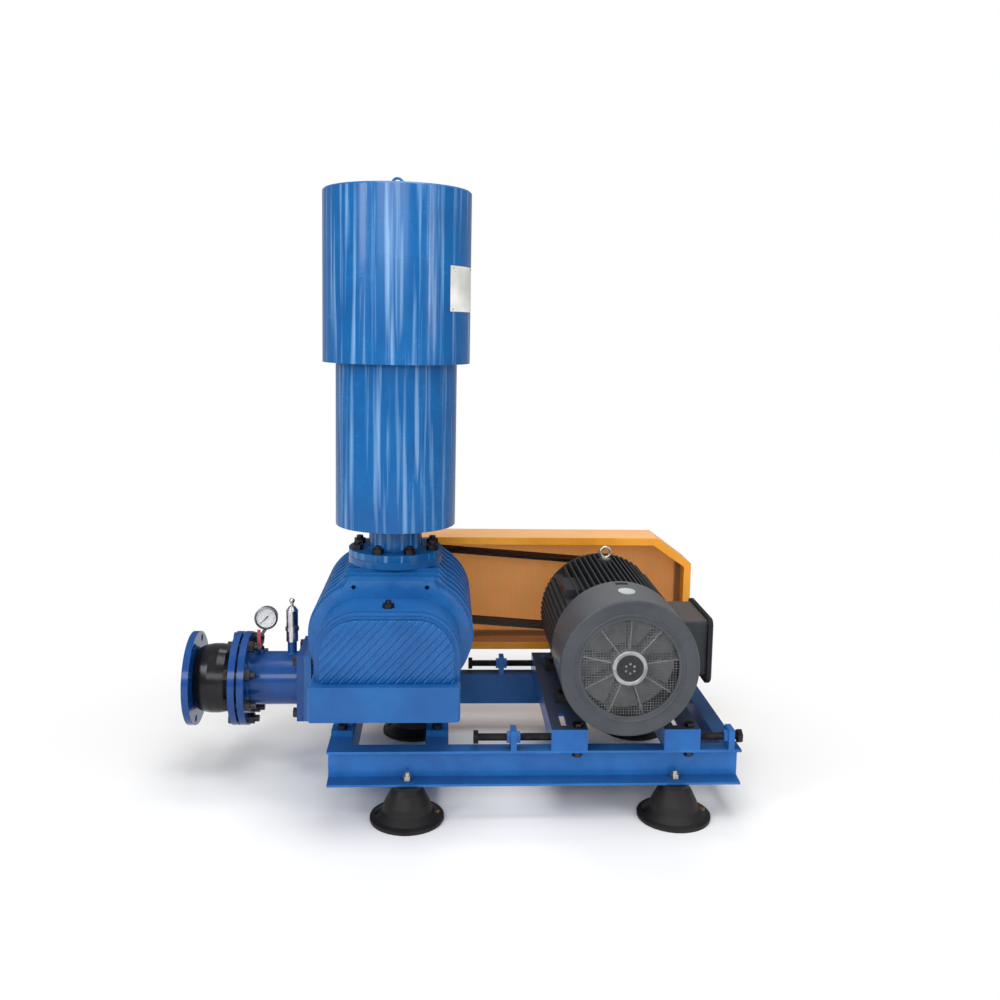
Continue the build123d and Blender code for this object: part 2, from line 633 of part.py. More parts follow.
def gear_case_outline(radius, bottom, half_width):
    """Round-shouldered gear case outline in (X, Z)."""
    lower = Polygon((BLOWER_X - half_width, bottom), (BLOWER_X + half_width, bottom),
                    (BLOWER_X + half_width, ROTOR_Z), (BLOWER_X - half_width, ROTOR_Z), align=None)
    return twin_circles(radius) + lower


def make_gear_case():
    """Cast gear case: arched cover with diagonal cooling grooves over a deeper oil sump."""
    front = PLATE_Y - GEAR_CASE_DEPTH
    shoulder = front + GEAR_CASE_NOSE
    half = GEAR_CASE_RADIUS + ROTOR_SPACING / 2
    panel_half = GEAR_CASE_PANEL_RADIUS + ROTOR_SPACING / 2
    outline = gear_case_outline(GEAR_CASE_RADIUS, GEAR_CASE_BOTTOM, half)
    case = along_y(outline, shoulder, PLATE_Y)
    steps = 3
    for i in range(steps):
        fade = sin((i + 1) / (steps + 0.5) * pi / 2)
        drop = (GEAR_CASE_RADIUS - GEAR_CASE_PANEL_RADIUS) * (1 - cos((i + 1) / steps * pi / 2))
        near = shoulder - GEAR_CASE_NOSE * fade if i < steps - 1 else front
        case += along_y(gear_case_outline(GEAR_CASE_RADIUS - drop, GEAR_CASE_LEDGE - 20, half - drop),
                        near, shoulder)
    sump_front = PLATE_Y - GEAR_CASE_BOX_DEPTH
    sump = block(BLOWER_X - GEAR_CASE_BOX_LEFT, BLOWER_X + half, sump_front, PLATE_Y,
                 GEAR_CASE_BOTTOM, GEAR_CASE_LEDGE)
    sump = fillet(sump.edges().filter_by(Axis.Z) + sump.edges().filter_by(Axis.Y), SUMP_CORNER_RADIUS)
    case += sump
    wall = GEAR_CASE_WALL
    inner = gear_case_outline(GEAR_CASE_PANEL_RADIUS - 2, GEAR_CASE_BOTTOM + wall, panel_half - wall)
    case -= along_y(inner, front + wall + 4, PLATE_Y + 1)
    groove_top = ROTOR_Z + GEAR_CASE_PANEL_RADIUS - GROOVE_MARGIN
    groove_bottom = GEAR_CASE_LEDGE + 8
    field = gear_case_outline(GEAR_CASE_PANEL_RADIUS - GROOVE_MARGIN, groove_bottom,
                              panel_half - GROOVE_MARGIN)
    height = groove_top - groove_bottom
    lean = height / sin(radians(GROOVE_ANGLE))
    grooves = None
    for i in range(-7, 8):
        bar = Pos(BLOWER_X + i * GROOVE_PITCH * 1.25, (groove_top + groove_bottom) / 2) * Rot(
            0, 0, GROOVE_ANGLE) * Rectangle(lean * 1.1, GROOVE_WIDTH)
        grooves = bar if grooves is None else grooves + bar
    case -= along_y(grooves & field, front - 1, front + GROOVE_DEPTH)
    case -= rod_z(BLOWER_X, PLATE_Y - OIL_PLUG_SETBACK, ROTOR_Z + GEAR_CASE_RADIUS / 2,
                  ROTOR_Z + GEAR_CASE_RADIUS + 5, OIL_PLUG_RADIUS)
    return case


def gear_outline(turn):
    """Timing gear outline about the origin with straight-flanked teeth."""
    pitch = ROTOR_SPACING / 2
    module = 2 * pitch / GEAR_TEETH
    points = []
    step = 2 * pi / GEAR_TEETH
    tip = pitch + 0.9 * module
    root = pitch - 1.2 * module
    half_gap = GEAR_BACKLASH / 2 / pitch
    for tooth in range(GEAR_TEETH):
        middle = tooth * step
        for radius, share in ((root, -0.34), (tip, -0.12), (tip, 0.12), (root, 0.34)):
            angle = middle + share * step - (half_gap if share > 0 else -half_gap)
            points.append((radius * cos(angle), radius * sin(angle)))
    return Rot(0, 0, turn) * Polygon(*points, align=None)


def make_timing_gear(x, turn):
    """Timing gear that keeps the rotors in step, seated on the shaft's front end."""
    face = Pos(x, ROTOR_Z) * gear_outline(turn)
    back = PLATE_Y - GEAR_SETBACK
    gear = along_y(face, back - GEAR_WIDTH, back)
    gear -= rod_y(x, ROTOR_Z, back - GEAR_WIDTH - 1, back + 1, SHAFT_RADIUS)
    return gear


def make_gear_nut(x):
    """Locknut that holds the timing gear against its collar."""
    back = PLATE_Y - GEAR_SETBACK - GEAR_WIDTH
    ring = rod_y(x, ROTOR_Z, back - GEAR_NUT_WIDTH, back, SHAFT_RADIUS + 12)
    return ring - rod_y(x, ROTOR_Z, back - GEAR_NUT_WIDTH - 1, back + 1, SHAFT_RADIUS)


def make_rear_cover():
    """Cover over the rear bearings, with the drive shaft's opening."""
    cover_end = REAR_PLATE_END_Y + REAR_COVER_THICKNESS
    cover = along_y(twin_circles(BEARING_RADIUS + 14), REAR_PLATE_END_Y, cover_end)
    cover -= along_y(twin_circles(BEARING_RADIUS - 2), REAR_PLATE_END_Y - 1, REAR_PLATE_END_Y + 3)
    cover -= rod_y(DRIVE_X, ROTOR_Z, REAR_PLATE_END_Y - 1, cover_end + 1, SHAFT_RADIUS + 1)
    return cover


def blower_nodes():
    rotor_turn = 90.0
    bearing_front = PLATE_Y
    bearing_rear = REAR_PLATE_END_Y - BEARING_WIDTH
    axes = (DRIVEN_X, DRIVE_X)
    mesh_turn = 180 / ROTOR_LOBES
    foot_bolts = []
    for side in (-1, 1):
        foot_x = BLOWER_X + side * FOOT_SPACING / 2
        for foot_y in (PLATE_Y + BLOWER_FOOT_BOLT_INSET, REAR_PLATE_END_Y - BLOWER_FOOT_BOLT_INSET):
            foot_z = RAIL_TOP + BLOWER_FOOT_HEIGHT
            head = Pos(foot_x, foot_y, foot_z) * hexagon_bar(24, 12)
            foot_bolts.append(head)
    plug_y = PLATE_Y - OIL_PLUG_SETBACK
    plug_z = ROTOR_Z + GEAR_CASE_RADIUS
    plug = Pos(BLOWER_X, plug_y, plug_z) * hexagon_bar(27, 12)
    plug += rod_z(BLOWER_X, plug_y, plug_z - 14, plug_z + 1, OIL_PLUG_RADIUS - 2 * RUNNING_CLEARANCE)
    plug += rod_z(BLOWER_X, plug_y, plug_z + 12, plug_z + 20, 8)
    return {
        "blower_casing": make_casing(),
        "front_end_plate": make_end_plate(PLATE_Y, True),
        "rear_end_plate": gather([make_end_plate(CASING_END_Y, False), make_rear_cover()]),
        "gear_case": make_gear_case(),
        "blower_foot_bolts": foot_bolts,
        "oil_filler_plug": plug,
        "blower_bearings_and_seals": gather(
            [make_bearing(x, y) for x in axes for y in (bearing_front, bearing_rear)]
            + [make_shaft_seal(x, PLATE_Y + BEARING_WIDTH, CASING_Y - SEAT_GAP) for x in axes]
            + [make_shaft_seal(x, CASING_END_Y + SEAT_GAP, bearing_rear) for x in axes]),
        "drive_rotor": make_rotor(DRIVE_X, rotor_turn, PULLEY_BACK_Y - SHAFT_END_SETBACK),
        "driven_rotor": make_rotor(DRIVEN_X, rotor_turn + mesh_turn, REAR_PLATE_END_Y - 1),
        "drive_timing_gear": gather([make_timing_gear(DRIVE_X, 0), make_gear_nut(DRIVE_X)]),
        "driven_timing_gear": gather([make_timing_gear(DRIVEN_X, 0), make_gear_nut(DRIVEN_X)]),
    }


# ---- inlet silencer ---------------------------------------------------------------------
def make_silencer_body():
    """Silencer drum with its bottom plate, neck and flange; the top plate carries the filter."""
    neck_bottom = SILENCER_FLANGE_Z
    top = SILENCER_BOTTOM + SILENCER_HEIGHT
    drum = turned([
        (BORE_RADIUS, neck_bottom), (PIPE_RADIUS, neck_bottom), (PIPE_RADIUS, SILENCER_BOTTOM),
        (SILENCER_RADIUS, SILENCER_BOTTOM), (SILENCER_RADIUS, top), (CORE_RADIUS, top),
        (CORE_RADIUS, top - SHEET), (SILENCER_RADIUS - SHEET, top - SHEET),
        (SILENCER_RADIUS - SHEET, SILENCER_BOTTOM + SHEET), (BORE_RADIUS, SILENCER_BOTTOM + SHEET)],
        BLOWER_X, PORT_Y)
    return drum + Pos(BLOWER_X, PORT_Y, neck_bottom) * flange_disc(FLANGE_THICKNESS, BORE_RADIUS)


def make_hood():
    """Rain hood: a larger drum, closed on top, open round the silencer below."""
    rim = HOOD_RADIUS - SHEET
    hood = turned([(0, HOOD_TOP), (HOOD_RADIUS - 5, HOOD_TOP), (HOOD_RADIUS, HOOD_TOP - 5),
                   (HOOD_RADIUS, HOOD_BOTTOM), (rim, HOOD_BOTTOM), (rim, HOOD_TOP - SHEET - 4),
                   (rim - 4, HOOD_TOP - SHEET), (0, HOOD_TOP - SHEET)], BLOWER_X, PORT_Y)
    return hood


def ring_wall(outer, inner, z0, z1):
    """Plain tube standing on the silencer's axis."""
    return rod_z(BLOWER_X, PORT_Y, z0, z1, outer) - rod_z(BLOWER_X, PORT_Y, z0 - 1, z1 + 1, inner)


def make_lifting_loop():
    """Bent rod loop welded to the hood's top."""
    path = Plane.XZ * (Line((-LOOP_RADIUS, 0), (-LOOP_RADIUS, LOOP_RISE))
                       + CenterArc((0, LOOP_RISE), LOOP_RADIUS, 180, -180)
                       + Line((LOOP_RADIUS, LOOP_RISE), (LOOP_RADIUS, 0)))
    bar = sweep(Pos(-LOOP_RADIUS, 0) * Circle(LOOP_WIRE_RADIUS), path)
    return Pos(BLOWER_X, PORT_Y, HOOD_TOP) * bar


def silencer_nodes():
    top = SILENCER_BOTTOM + SILENCER_HEIGHT
    bolts = []
    grip = FLANGE_THICKNESS + GASKET_THICKNESS
    for u, v in bolt_places(BOLT_COUNT, BOLT_CIRCLE):
        stud = flange_stud(FLANGE_THICKNESS - 1, grip, BOLT_RADIUS, STUD_TAIL)
        bolts.append(Pos(BLOWER_X + u, PORT_Y + v, INLET_FACE_Z) * stud)
    tie_top = HOOD_TOP - SHEET
    bridge_z = top - TIE_BRIDGE_DROP
    tie = rod_z(BLOWER_X, PORT_Y, bridge_z, tie_top, TIE_ROD_RADIUS)
    reach = CORE_RADIUS - CORE_SHEET - 2 * SEAT_GAP
    half_bridge = TIE_BRIDGE_WIDTH / 2
    bridge = block(BLOWER_X - reach, BLOWER_X + reach, PORT_Y - half_bridge, PORT_Y + half_bridge,
                   bridge_z, bridge_z + TIE_BRIDGE_HEIGHT)
    inner_core = ring_wall(CORE_RADIUS, CORE_RADIUS - CORE_SHEET, SILENCER_BOTTOM + SHEET, top)
    filter_ring = ring_wall(FILTER_RADIUS, FILTER_RADIUS - FILTER_DEPTH, top, top + FILTER_HEIGHT)
    cap = rod_z(BLOWER_X, PORT_Y, top + FILTER_HEIGHT, top + FILTER_HEIGHT + SHEET, FILTER_RADIUS)
    cap -= rod_z(BLOWER_X, PORT_Y, top, top + FILTER_HEIGHT + 2 * SHEET, TIE_ROD_RADIUS + 0.5)
    lining = ring_wall(SILENCER_RADIUS - SHEET, CORE_RADIUS, SILENCER_BOTTOM + SHEET, top - SHEET)
    gasket = Pos(BLOWER_X, PORT_Y, INLET_FACE_Z) * flange_disc(GASKET_THICKNESS, BORE_RADIUS)
    return {
        "silencer_drum": make_silencer_body(),
        "silencer_core": gather([inner_core, lining]),
        "filter_element": gather([filter_ring, cap, tie + bridge]),
        "rain_hood": make_hood() + make_lifting_loop(),
        "inlet_flange_bolts": bolts,
        "inlet_gasket": gasket,
    }


# ---- outlet -----------------------------------------------------------------------------
def facing_left(piece, x):
    """Turn a piece drawn upwards so that it points to -X, its foot at x on the outlet axis."""
    return Pos(x, PORT_Y, OUTLET_Z) * Rot(0, -90, 0) * piece


def make_outlet_pipe():
    """Outlet pipe with a square flange on the pump, a round one outside, and two stubs on top."""
    half = SQUARE_FLANGE_SIZE / 2
    pipe = rod_x(PORT_Y, OUTLET_Z, PIPE_END_X, PIPE_START_X, PIPE_RADIUS)
    pipe += block(PIPE_START_X - SQUARE_FLANGE_THICKNESS, PIPE_START_X, PORT_Y - half, PORT_Y + half,
                  OUTLET_Z - half, OUTLET_Z + half)
    pipe += facing_left(flange_disc(FLANGE_THICKNESS, BORE_RADIUS - 5), PIPE_END_X + FLANGE_THICKNESS)
    for x, radius, top in ((GAUGE_X + 4, 11.0, OUTLET_Z + PIPE_RADIUS + 10), (RELIEF_X, 14.0, STUB_HEIGHT)):
        pipe += rod_z(x, PORT_Y, OUTLET_Z + BORE_RADIUS - 3, top, radius)
    pipe -= rod_x(PORT_Y, OUTLET_Z, PIPE_END_X - 1, PIPE_START_X + 1, BORE_RADIUS)
    for u, v in square_bolt_places():
        pipe -= rod_x(PORT_Y + u, OUTLET_Z + v, PIPE_START_X - SQUARE_FLANGE_THICKNESS - 1,
                      PIPE_START_X + 1, BOLT_HOLE_RADIUS)
    return pipe


def make_rubber_joint():
    """Single-arch rubber joint: moulded collars at both ends and a round arch between them."""
    x0 = JOINT_END_X
    x1 = JOINT_START_X
    wall = JOINT_RUBBER_WALL
    lip = JOINT_LIP
    collar = BORE_RADIUS + JOINT_COLLAR_WIDTH
    neck = BORE_RADIUS + wall
    middle = (x0 + x1) / 2
    reach = (x1 - x0) / 2 - lip - FLANGE_THICKNESS - SEAT_GAP
    left = [(x0, BORE_RADIUS), (x0, collar), (x0 + lip, collar), (x0 + lip, neck), (middle - reach, neck)]
    right = [(2 * middle - x, radius) for x, radius in reversed(left)]
    outer_arch = []
    steps = 7
    for i in range(1, steps):
        angle = pi * i / steps
        outer_arch.append((middle - reach * cos(angle), neck + (JOINT_ARCH_RADIUS - neck) * sin(angle)))
    inner_arch = []
    for i in range(steps + 1):
        angle = pi - pi * i / steps
        inner_arch.append((middle - (reach - wall) * cos(angle),
                           BORE_RADIUS + (JOINT_ARCH_RADIUS - neck) * sin(angle)))
    return turned_x(left + outer_arch + right + inner_arch, PORT_Y, OUTLET_Z)


def joint_flange_bore():
    """Radius of the loose flanges' bore, which clears the rubber's neck."""
    return BORE_RADIUS + JOINT_RUBBER_WALL + SEAT_GAP


def outlet_nodes():
    inner_x = JOINT_START_X - JOINT_LIP - SEAT_GAP
    outer_x = JOINT_END_X + JOINT_LIP + SEAT_GAP + FLANGE_THICKNESS
    bolts = []
    grip = 2 * FLANGE_THICKNESS + JOINT_LIP + 2 * SEAT_GAP
    for u, v in bolt_places(BOLT_COUNT, BOLT_CIRCLE):
        bolt = Pos(u, v, 0) * flange_bolt(grip, BOLT_RADIUS, JOINT_BOLT_TAIL)
        bolts.append(Pos(inner_x - FLANGE_THICKNESS, PORT_Y, OUTLET_Z) * Rot(0, 90, 0) * bolt)
    square_bolts = []
    square_grip = 2 * SQUARE_FLANGE_THICKNESS + GASKET_THICKNESS
    for u, v in square_bolt_places():
        start = PIPE_START_X - SQUARE_FLANGE_THICKNESS
        bolt = flange_bolt(square_grip, SQUARE_BOLT_RADIUS, 5.0)
        square_bolts.append(Pos(start, PORT_Y + u, OUTLET_Z + v) * Rot(0, 90, 0) * bolt)
    half = SQUARE_FLANGE_SIZE / 2
    gasket = block(PIPE_START_X, OUTLET_FACE_X, PORT_Y - half, PORT_Y + half,
                   OUTLET_Z - half, OUTLET_Z + half)
    gasket -= rod_x(PORT_Y, OUTLET_Z, PIPE_START_X - 1, OUTLET_FACE_X + 1, BORE_RADIUS)
    for u, v in square_bolt_places():
        gasket -= rod_x(PORT_Y + u, OUTLET_Z + v, PIPE_START_X - 1, OUTLET_FACE_X + 1, BOLT_HOLE_RADIUS)
    outer_flange = flange_disc(FLANGE_THICKNESS, joint_flange_bore(), PLANT_HOLE_RADIUS)
    return {
        "outlet_gasket": gasket,
        "outlet_pipe": make_outlet_pipe(),
        "joint_inner_flange": facing_left(flange_disc(FLANGE_THICKNESS, joint_flange_bore()), inner_x),
        "outlet_flange_bolts": bolts + square_bolts,
        "rubber_joint": make_rubber_joint(),
        "joint_outer_flange": facing_left(outer_flange, outer_x),
    }


def gauge_nodes():
    """Pressure gauge on its shut-off cock, and the spring-loaded relief valve beside it."""
    stem_x = GAUGE_X
    dial_x = GAUGE_X + GAUGE_OFFSET
    front = PORT_Y - GAUGE_FRONT_REACH
    back = PORT_Y + GAUGE_BACK_REACH
    pipe_top = OUTLET_Z + PIPE_RADIUS + GAUGE_STUB_RISE
    cock_top = pipe_top + COCK_HEIGHT
    cock_z = pipe_top + COCK_HEIGHT / 2
    case = turned_y([(0, back), (GAUGE_RADIUS - 3, back), (GAUGE_RADIUS - 3, front + 8),
                     (GAUGE_RADIUS, front + 8), (GAUGE_RADIUS, front), (GAUGE_RADIUS - 4, front - 2),
                     (GAUGE_RADIUS - 5, front + 6), (0, front + 6)], dial_x, GAUGE_Z)
    stem_top = GAUGE_Z - GAUGE_RADIUS + 4
    lean = atan2(GAUGE_OFFSET, stem_top - cock_top)
    case += Pos(stem_x, PORT_Y, cock_top) * Rot(0, degrees(lean), 0) * Pos(0, 0, 17) * Cylinder(5, 34)
    case -= rod_z(stem_x, PORT_Y, pipe_top, cock_top, 12)
    dial = rod_y(dial_x, GAUGE_Z, front + 5, front + 6, GAUGE_RADIUS - 5.6)
    glass = rod_y(dial_x, GAUGE_Z, front, front + 1.5, GAUGE_RADIUS - 5.6)
    pivot_y = front + 2.0
    pointer = Polygon((-3, -9), (3, -9), (0.8, 24), (-0.8, 24), align=None)
    needle = along_y(Pos(dial_x, GAUGE_Z) * Rot(0, 0, 135) * pointer, pivot_y + 0.6, pivot_y + 1.4)
    needle += rod_y(dial_x, GAUGE_Z, pivot_y + 0.2, pivot_y + 2.4, 3.0)
    cock = rod_z(stem_x, PORT_Y, pipe_top, cock_top, 7)
    cock += rod_y(stem_x, cock_z, PORT_Y - COCK_FRONT_REACH, PORT_Y + COCK_BODY_RADIUS, COCK_BODY_RADIUS)
    cock += Pos(stem_x, PORT_Y, pipe_top) * hexagon_bar(20, 9)
    cock += Pos(stem_x, PORT_Y, cock_top - 9) * hexagon_bar(19, 9)
    pivot_face = PORT_Y - COCK_FRONT_REACH - SEAT_GAP
    half_lever = LEVER_WIDTH / 2
    lever = rod_y(stem_x, cock_z, pivot_face - 7, pivot_face, 8)
    lever += block(stem_x - half_lever, stem_x + half_lever, pivot_face - 6, pivot_face - 3,
                   cock_z, cock_z + LEVER_LENGTH)
    base_z = STUB_HEIGHT
    body_top = base_z + RELIEF_HEIGHT
    disc_top = base_z + VALVE_DISC_Z
    spring_top = disc_top + SPRING_SPACE
    guide_radius = 4.7
    body = rod_z(RELIEF_X, PORT_Y, base_z, body_top, RELIEF_RADIUS)
    body += rod_z(RELIEF_X, PORT_Y, base_z + 34, base_z + 44, RELIEF_RADIUS + 3)
    body += Pos(RELIEF_X, PORT_Y, body_top + 6) * Cone(RELIEF_RADIUS, 9, 12)
    body -= rod_z(RELIEF_X, PORT_Y, base_z + 8, spring_top, RELIEF_RADIUS - RELIEF_WALL)
    body -= rod_z(RELIEF_X, PORT_Y, base_z + 80, body_top + 24, guide_radius + SEAT_GAP)
    stem = rod_z(RELIEF_X, PORT_Y, disc_top, body_top + 22, guide_radius)
    stem += rod_z(RELIEF_X, PORT_Y, base_z + 8 + SEAT_GAP, disc_top, RELIEF_RADIUS - RELIEF_WALL - 1.5)
    stem += Pos(RELIEF_X, PORT_Y, body_top + 29) * Sphere(RELIEF_KNOB_RADIUS)
    height = SPRING_SPACE - 2 * SPRING_WIRE_RADIUS
    coil = Helix(height / SPRING_TURNS, height, SPRING_RADIUS)
    start = Plane(origin=coil @ 0, z_dir=coil % 0)
    wire = sweep(start * Circle(SPRING_WIRE_RADIUS), coil)
    spring = Pos(RELIEF_X, PORT_Y, disc_top + SPRING_WIRE_RADIUS) * wire
    return {
        "gauge_case": gather([case, dial]), "gauge_glass": glass, "gauge_needle": needle,
        "gauge_cock": cock, "gauge_cock_lever": lever,
        "relief_valve_body": body, "relief_valve_stem": stem, "relief_valve_spring": spring,
    }


# ---- motor ------------------------------------------------------------------------------
def fin_field():
    """Cast fins in four groups, upright above and below the barrel and level at its sides."""
    fins = None
    count = 16
    for i in range(count):
        offset = (i - (count - 1) / 2) * FIN_PITCH
        tip = sqrt(FIN_RADIUS ** 2 - offset ** 2)
        level = Pos(0, offset) * Rectangle(2 * tip, FIN_THICKNESS)
        upright = Pos(offset, 0) * Rectangle(FIN_THICKNESS, 2 * tip)
        fins = level + upright if fins is None else fins + level + upright
    return fins


def make_motor_barrel():
    """Finned motor housing with its feet and the cast seat of the terminal box."""
    section = fin_field() + Circle(BARREL_RADIUS)
    barrel = along_y(Pos(MOTOR_X, MOTOR_Z) * section, COWL_END_Y, BARREL_END_Y)
    seat = TERMINAL_HALF_LENGTH - 42
    barrel += block(MOTOR_X + 120, TERMINAL_X, TERMINAL_Y - seat, TERMINAL_Y + seat,
                    MOTOR_Z - seat, MOTOR_Z + 30)
    reach = TERMINAL_HALF_LENGTH + 1
    barrel -= block(TERMINAL_X, TERMINAL_X + 20, TERMINAL_Y - reach, TERMINAL_Y + reach,
                    MOTOR_Z - TERMINAL_BELOW - 2, MOTOR_Z + TERMINAL_ABOVE + 2)
    pad_y = COWL_END_Y + CORNER_PAD_SETBACK
    barrel += block(MOTOR_X - CORNER_PAD_REACH, MOTOR_X - CORNER_PAD_REACH + CORNER_PAD_SIZE,
                    pad_y, pad_y + CORNER_PAD_LENGTH,
                    MOTOR_Z + CORNER_PAD_REACH - CORNER_PAD_SIZE, MOTOR_Z + CORNER_PAD_REACH)
    barrel += rod_z(MOTOR_X, EYEBOLT_Y, MOTOR_Z + BARREL_RADIUS - 12,
                    MOTOR_Z + FIN_RADIUS + EYEBOLT_BOSS_RISE, EYEBOLT_BOSS_RADIUS)
    foot_bottom = RAIL_TOP + SLIDE_RAIL_HEIGHT
    foot_top = foot_bottom + MOTOR_FOOT_THICKNESS
    half = MOTOR_FOOT_SPACING / 2
    for side in (-1, 1):
        outline = Polygon((side * (half - 38), foot_bottom), (side * (half + 35), foot_bottom),
                          (side * (half + 35), foot_top), (side * (half - 6), foot_top),
                          (side * (half - 12), MOTOR_Z - 60), (side * (half - 38), MOTOR_Z - 60), align=None)
        for y in MOTOR_FOOT_YS:
            foot = Pos(MOTOR_X, 0, 0) * along_y(outline, y - MOTOR_FOOT_HALF_LENGTH, y + MOTOR_FOOT_HALF_LENGTH)
            hole_x = MOTOR_X + side * (half + MOTOR_FOOT_OUTSET)
            foot -= rod_z(hole_x, y, foot_bottom - 1, foot_top + 10, MOTOR_BOLT_RADIUS)
            barrel += foot
    return barrel - rod_y(MOTOR_X, MOTOR_Z, COWL_END_Y - 1, BARREL_END_Y + 1, STATOR_RADIUS)


def make_cowl():
    """Pressed fan cowl, rolled over at the front round the air grille, with a slot on top."""
    y0 = COWL_FRONT_Y
    edge = COWL_EDGE_RADIUS
    inner = COWL_RADIUS - COWL_WALL
    cowl = turned_y([
        (GRILLE_RADIUS, y0), (COWL_RADIUS - edge, y0), (COWL_RADIUS - 2, y0 + 2), (COWL_RADIUS, y0 + edge),
        (COWL_RADIUS, COWL_END_Y), (inner, COWL_END_Y), (inner, y0 + edge + 2),
        (COWL_RADIUS - edge, y0 + COWL_WALL), (GRILLE_RADIUS, y0 + COWL_WALL)], MOTOR_X, MOTOR_Z)
    half = COWL_SLOT_WIDTH / 2
    slot_end = COWL_END_Y - COWL_SLOT_SETBACK
    return cowl - block(MOTOR_X - half, MOTOR_X + half, slot_end - COWL_SLOT_LENGTH, slot_end,
                        MOTOR_Z + inner - 10, MOTOR_Z + COWL_RADIUS + 1)


def make_grille():
    """Square wire grille behind the cowl's opening, with its ring and blank centre cap."""
    y0 = COWL_FRONT_Y + COWL_WALL
    ring = rod_y(MOTOR_X, MOTOR_Z, y0, y0 + 3, GRILLE_RADIUS + 10)
    ring -= rod_y(MOTOR_X, MOTOR_Z, y0 - 1, y0 + 4, GRILLE_RADIUS - 2)
    wires = None
    for i in range(-GRILLE_WIRES, GRILLE_WIRES + 1):
        offset = i * GRILLE_RADIUS / (GRILLE_WIRES + 0.5)
        half = sqrt((GRILLE_RADIUS + 1) ** 2 - offset ** 2)
        wire = Pos(0, offset) * Rectangle(2 * half, GRILLE_WIRE)
        wire += Pos(offset, 0) * Rectangle(GRILLE_WIRE, 2 * half)
        wires = wire if wires is None else wires + wire
    grille = along_y(Pos(MOTOR_X, MOTOR_Z) * wires, y0, y0 + 2.5)
    return ring + grille + rod_y(MOTOR_X, MOTOR_Z, y0 - 2, y0 + 3, 33)


def make_fan():
    """Cooling fan: hub, back disc and straight blades."""
    y0 = COWL_FRONT_Y + FAN_SETBACK
    fan = rod_y(MOTOR_X, MOTOR_Z, y0 + 4, y0 + FAN_DEPTH, FAN_HUB_RADIUS)
    fan += rod_y(MOTOR_X, MOTOR_Z, y0 + FAN_DEPTH - 8, y0 + FAN_DEPTH - 4, FAN_RADIUS)
    root = FAN_HUB_RADIUS - 10
    blade = Pos((root + FAN_RADIUS) / 2, 0) * Rectangle(FAN_RADIUS - root, FAN_BLADE_THICKNESS)
    for i in range(FAN_BLADES):
        turned_blade = Pos(MOTOR_X, MOTOR_Z) * Rot(0, 0, i * 360 / FAN_BLADES + 8) * blade
        fan += along_y(turned_blade, y0, y0 + FAN_DEPTH - 6)
    return fan - rod_y(MOTOR_X, MOTOR_Z, y0 + 20, y0 + FAN_DEPTH + 2, MOTOR_SHAFT_RADIUS)


def make_shield(y0, y1, narrow_y, outer):
    """Motor end shield with its bearing seat, closing one end of the barrel."""
    middle = BEARING_RADIUS + 18
    wide = y0 if narrow_y == y1 else y1
    step = 12 if narrow_y == y1 else -12
    shield = turned_y([
        (MOTOR_SHAFT_RADIUS + 1, wide), (outer, wide), (outer, wide + step), (outer - 24, wide + 2 * step),
        (middle, narrow_y - step), (middle - 8, narrow_y), (MOTOR_SHAFT_RADIUS + 1, narrow_y)],
        MOTOR_X, MOTOR_Z)
    return shield


def hollow_shield(shield, wide, narrow):
    """Take out the winding space and the bearing seat of an end shield."""
    inward = 1 if narrow > wide else -1
    near, far = sorted((wide - inward, wide + 8 * inward))
    space = rod_y(MOTOR_X, MOTOR_Z, near, far, STATOR_RADIUS - 18)
    seat_end = narrow - 10 * inward
    seat = rod_y(MOTOR_X, MOTOR_Z, min(wide, seat_end), max(wide, seat_end), BEARING_RADIUS)
    return shield - space - seat


def motor_bearing(y0):
    """Motor bearing between the shield's seat and the shaft."""
    bore = MOTOR_SHAFT_RADIUS + RUNNING_CLEARANCE
    ring = rod_y(MOTOR_X, MOTOR_Z, y0, y0 + BEARING_WIDTH, BEARING_RADIUS)
    return ring - rod_y(MOTOR_X, MOTOR_Z, y0 - 1, y0 + BEARING_WIDTH + 1, bore)


def make_terminal_box():
    """Terminal box, open towards its lid."""
    wall = TERMINAL_WALL
    far = TERMINAL_X + TERMINAL_DEPTH
    half = TERMINAL_HALF_LENGTH
    low = MOTOR_Z - TERMINAL_BELOW
    high = MOTOR_Z + TERMINAL_ABOVE
    box = block(TERMINAL_X, far, TERMINAL_Y - half, TERMINAL_Y + half, low, high)
    box = fillet(box.edges().filter_by(Axis.X), TERMINAL_CORNER_RADIUS)
    box -= block(TERMINAL_X + wall - 1, far + 1, TERMINAL_Y - half + wall, TERMINAL_Y + half - wall,
                 low + wall, high - wall)
    for side in (-1, 1):
        box -= rod_z(TERMINAL_X + TERMINAL_DEPTH / 2 + 2.5, TERMINAL_Y + side * GLAND_SPACING / 2,
                     low - 5, low + wall + 4, GLAND_RADIUS)
    return box


def make_terminal_lid():
    """Dished lid of the terminal box."""
    x0 = TERMINAL_X + TERMINAL_DEPTH
    half = TERMINAL_HALF_LENGTH + TERMINAL_LID_OVERHANG
    lid = block(x0, x0 + TERMINAL_LID_THICKNESS, TERMINAL_Y - half, TERMINAL_Y + half,
                MOTOR_Z - TERMINAL_BELOW - 19, MOTOR_Z + TERMINAL_ABOVE + 10)
    lid = fillet(lid.edges().filter_by(Axis.X), 24)
    return chamfer(lid.faces().sort_by(Axis.X)[-1].edges(), 4)


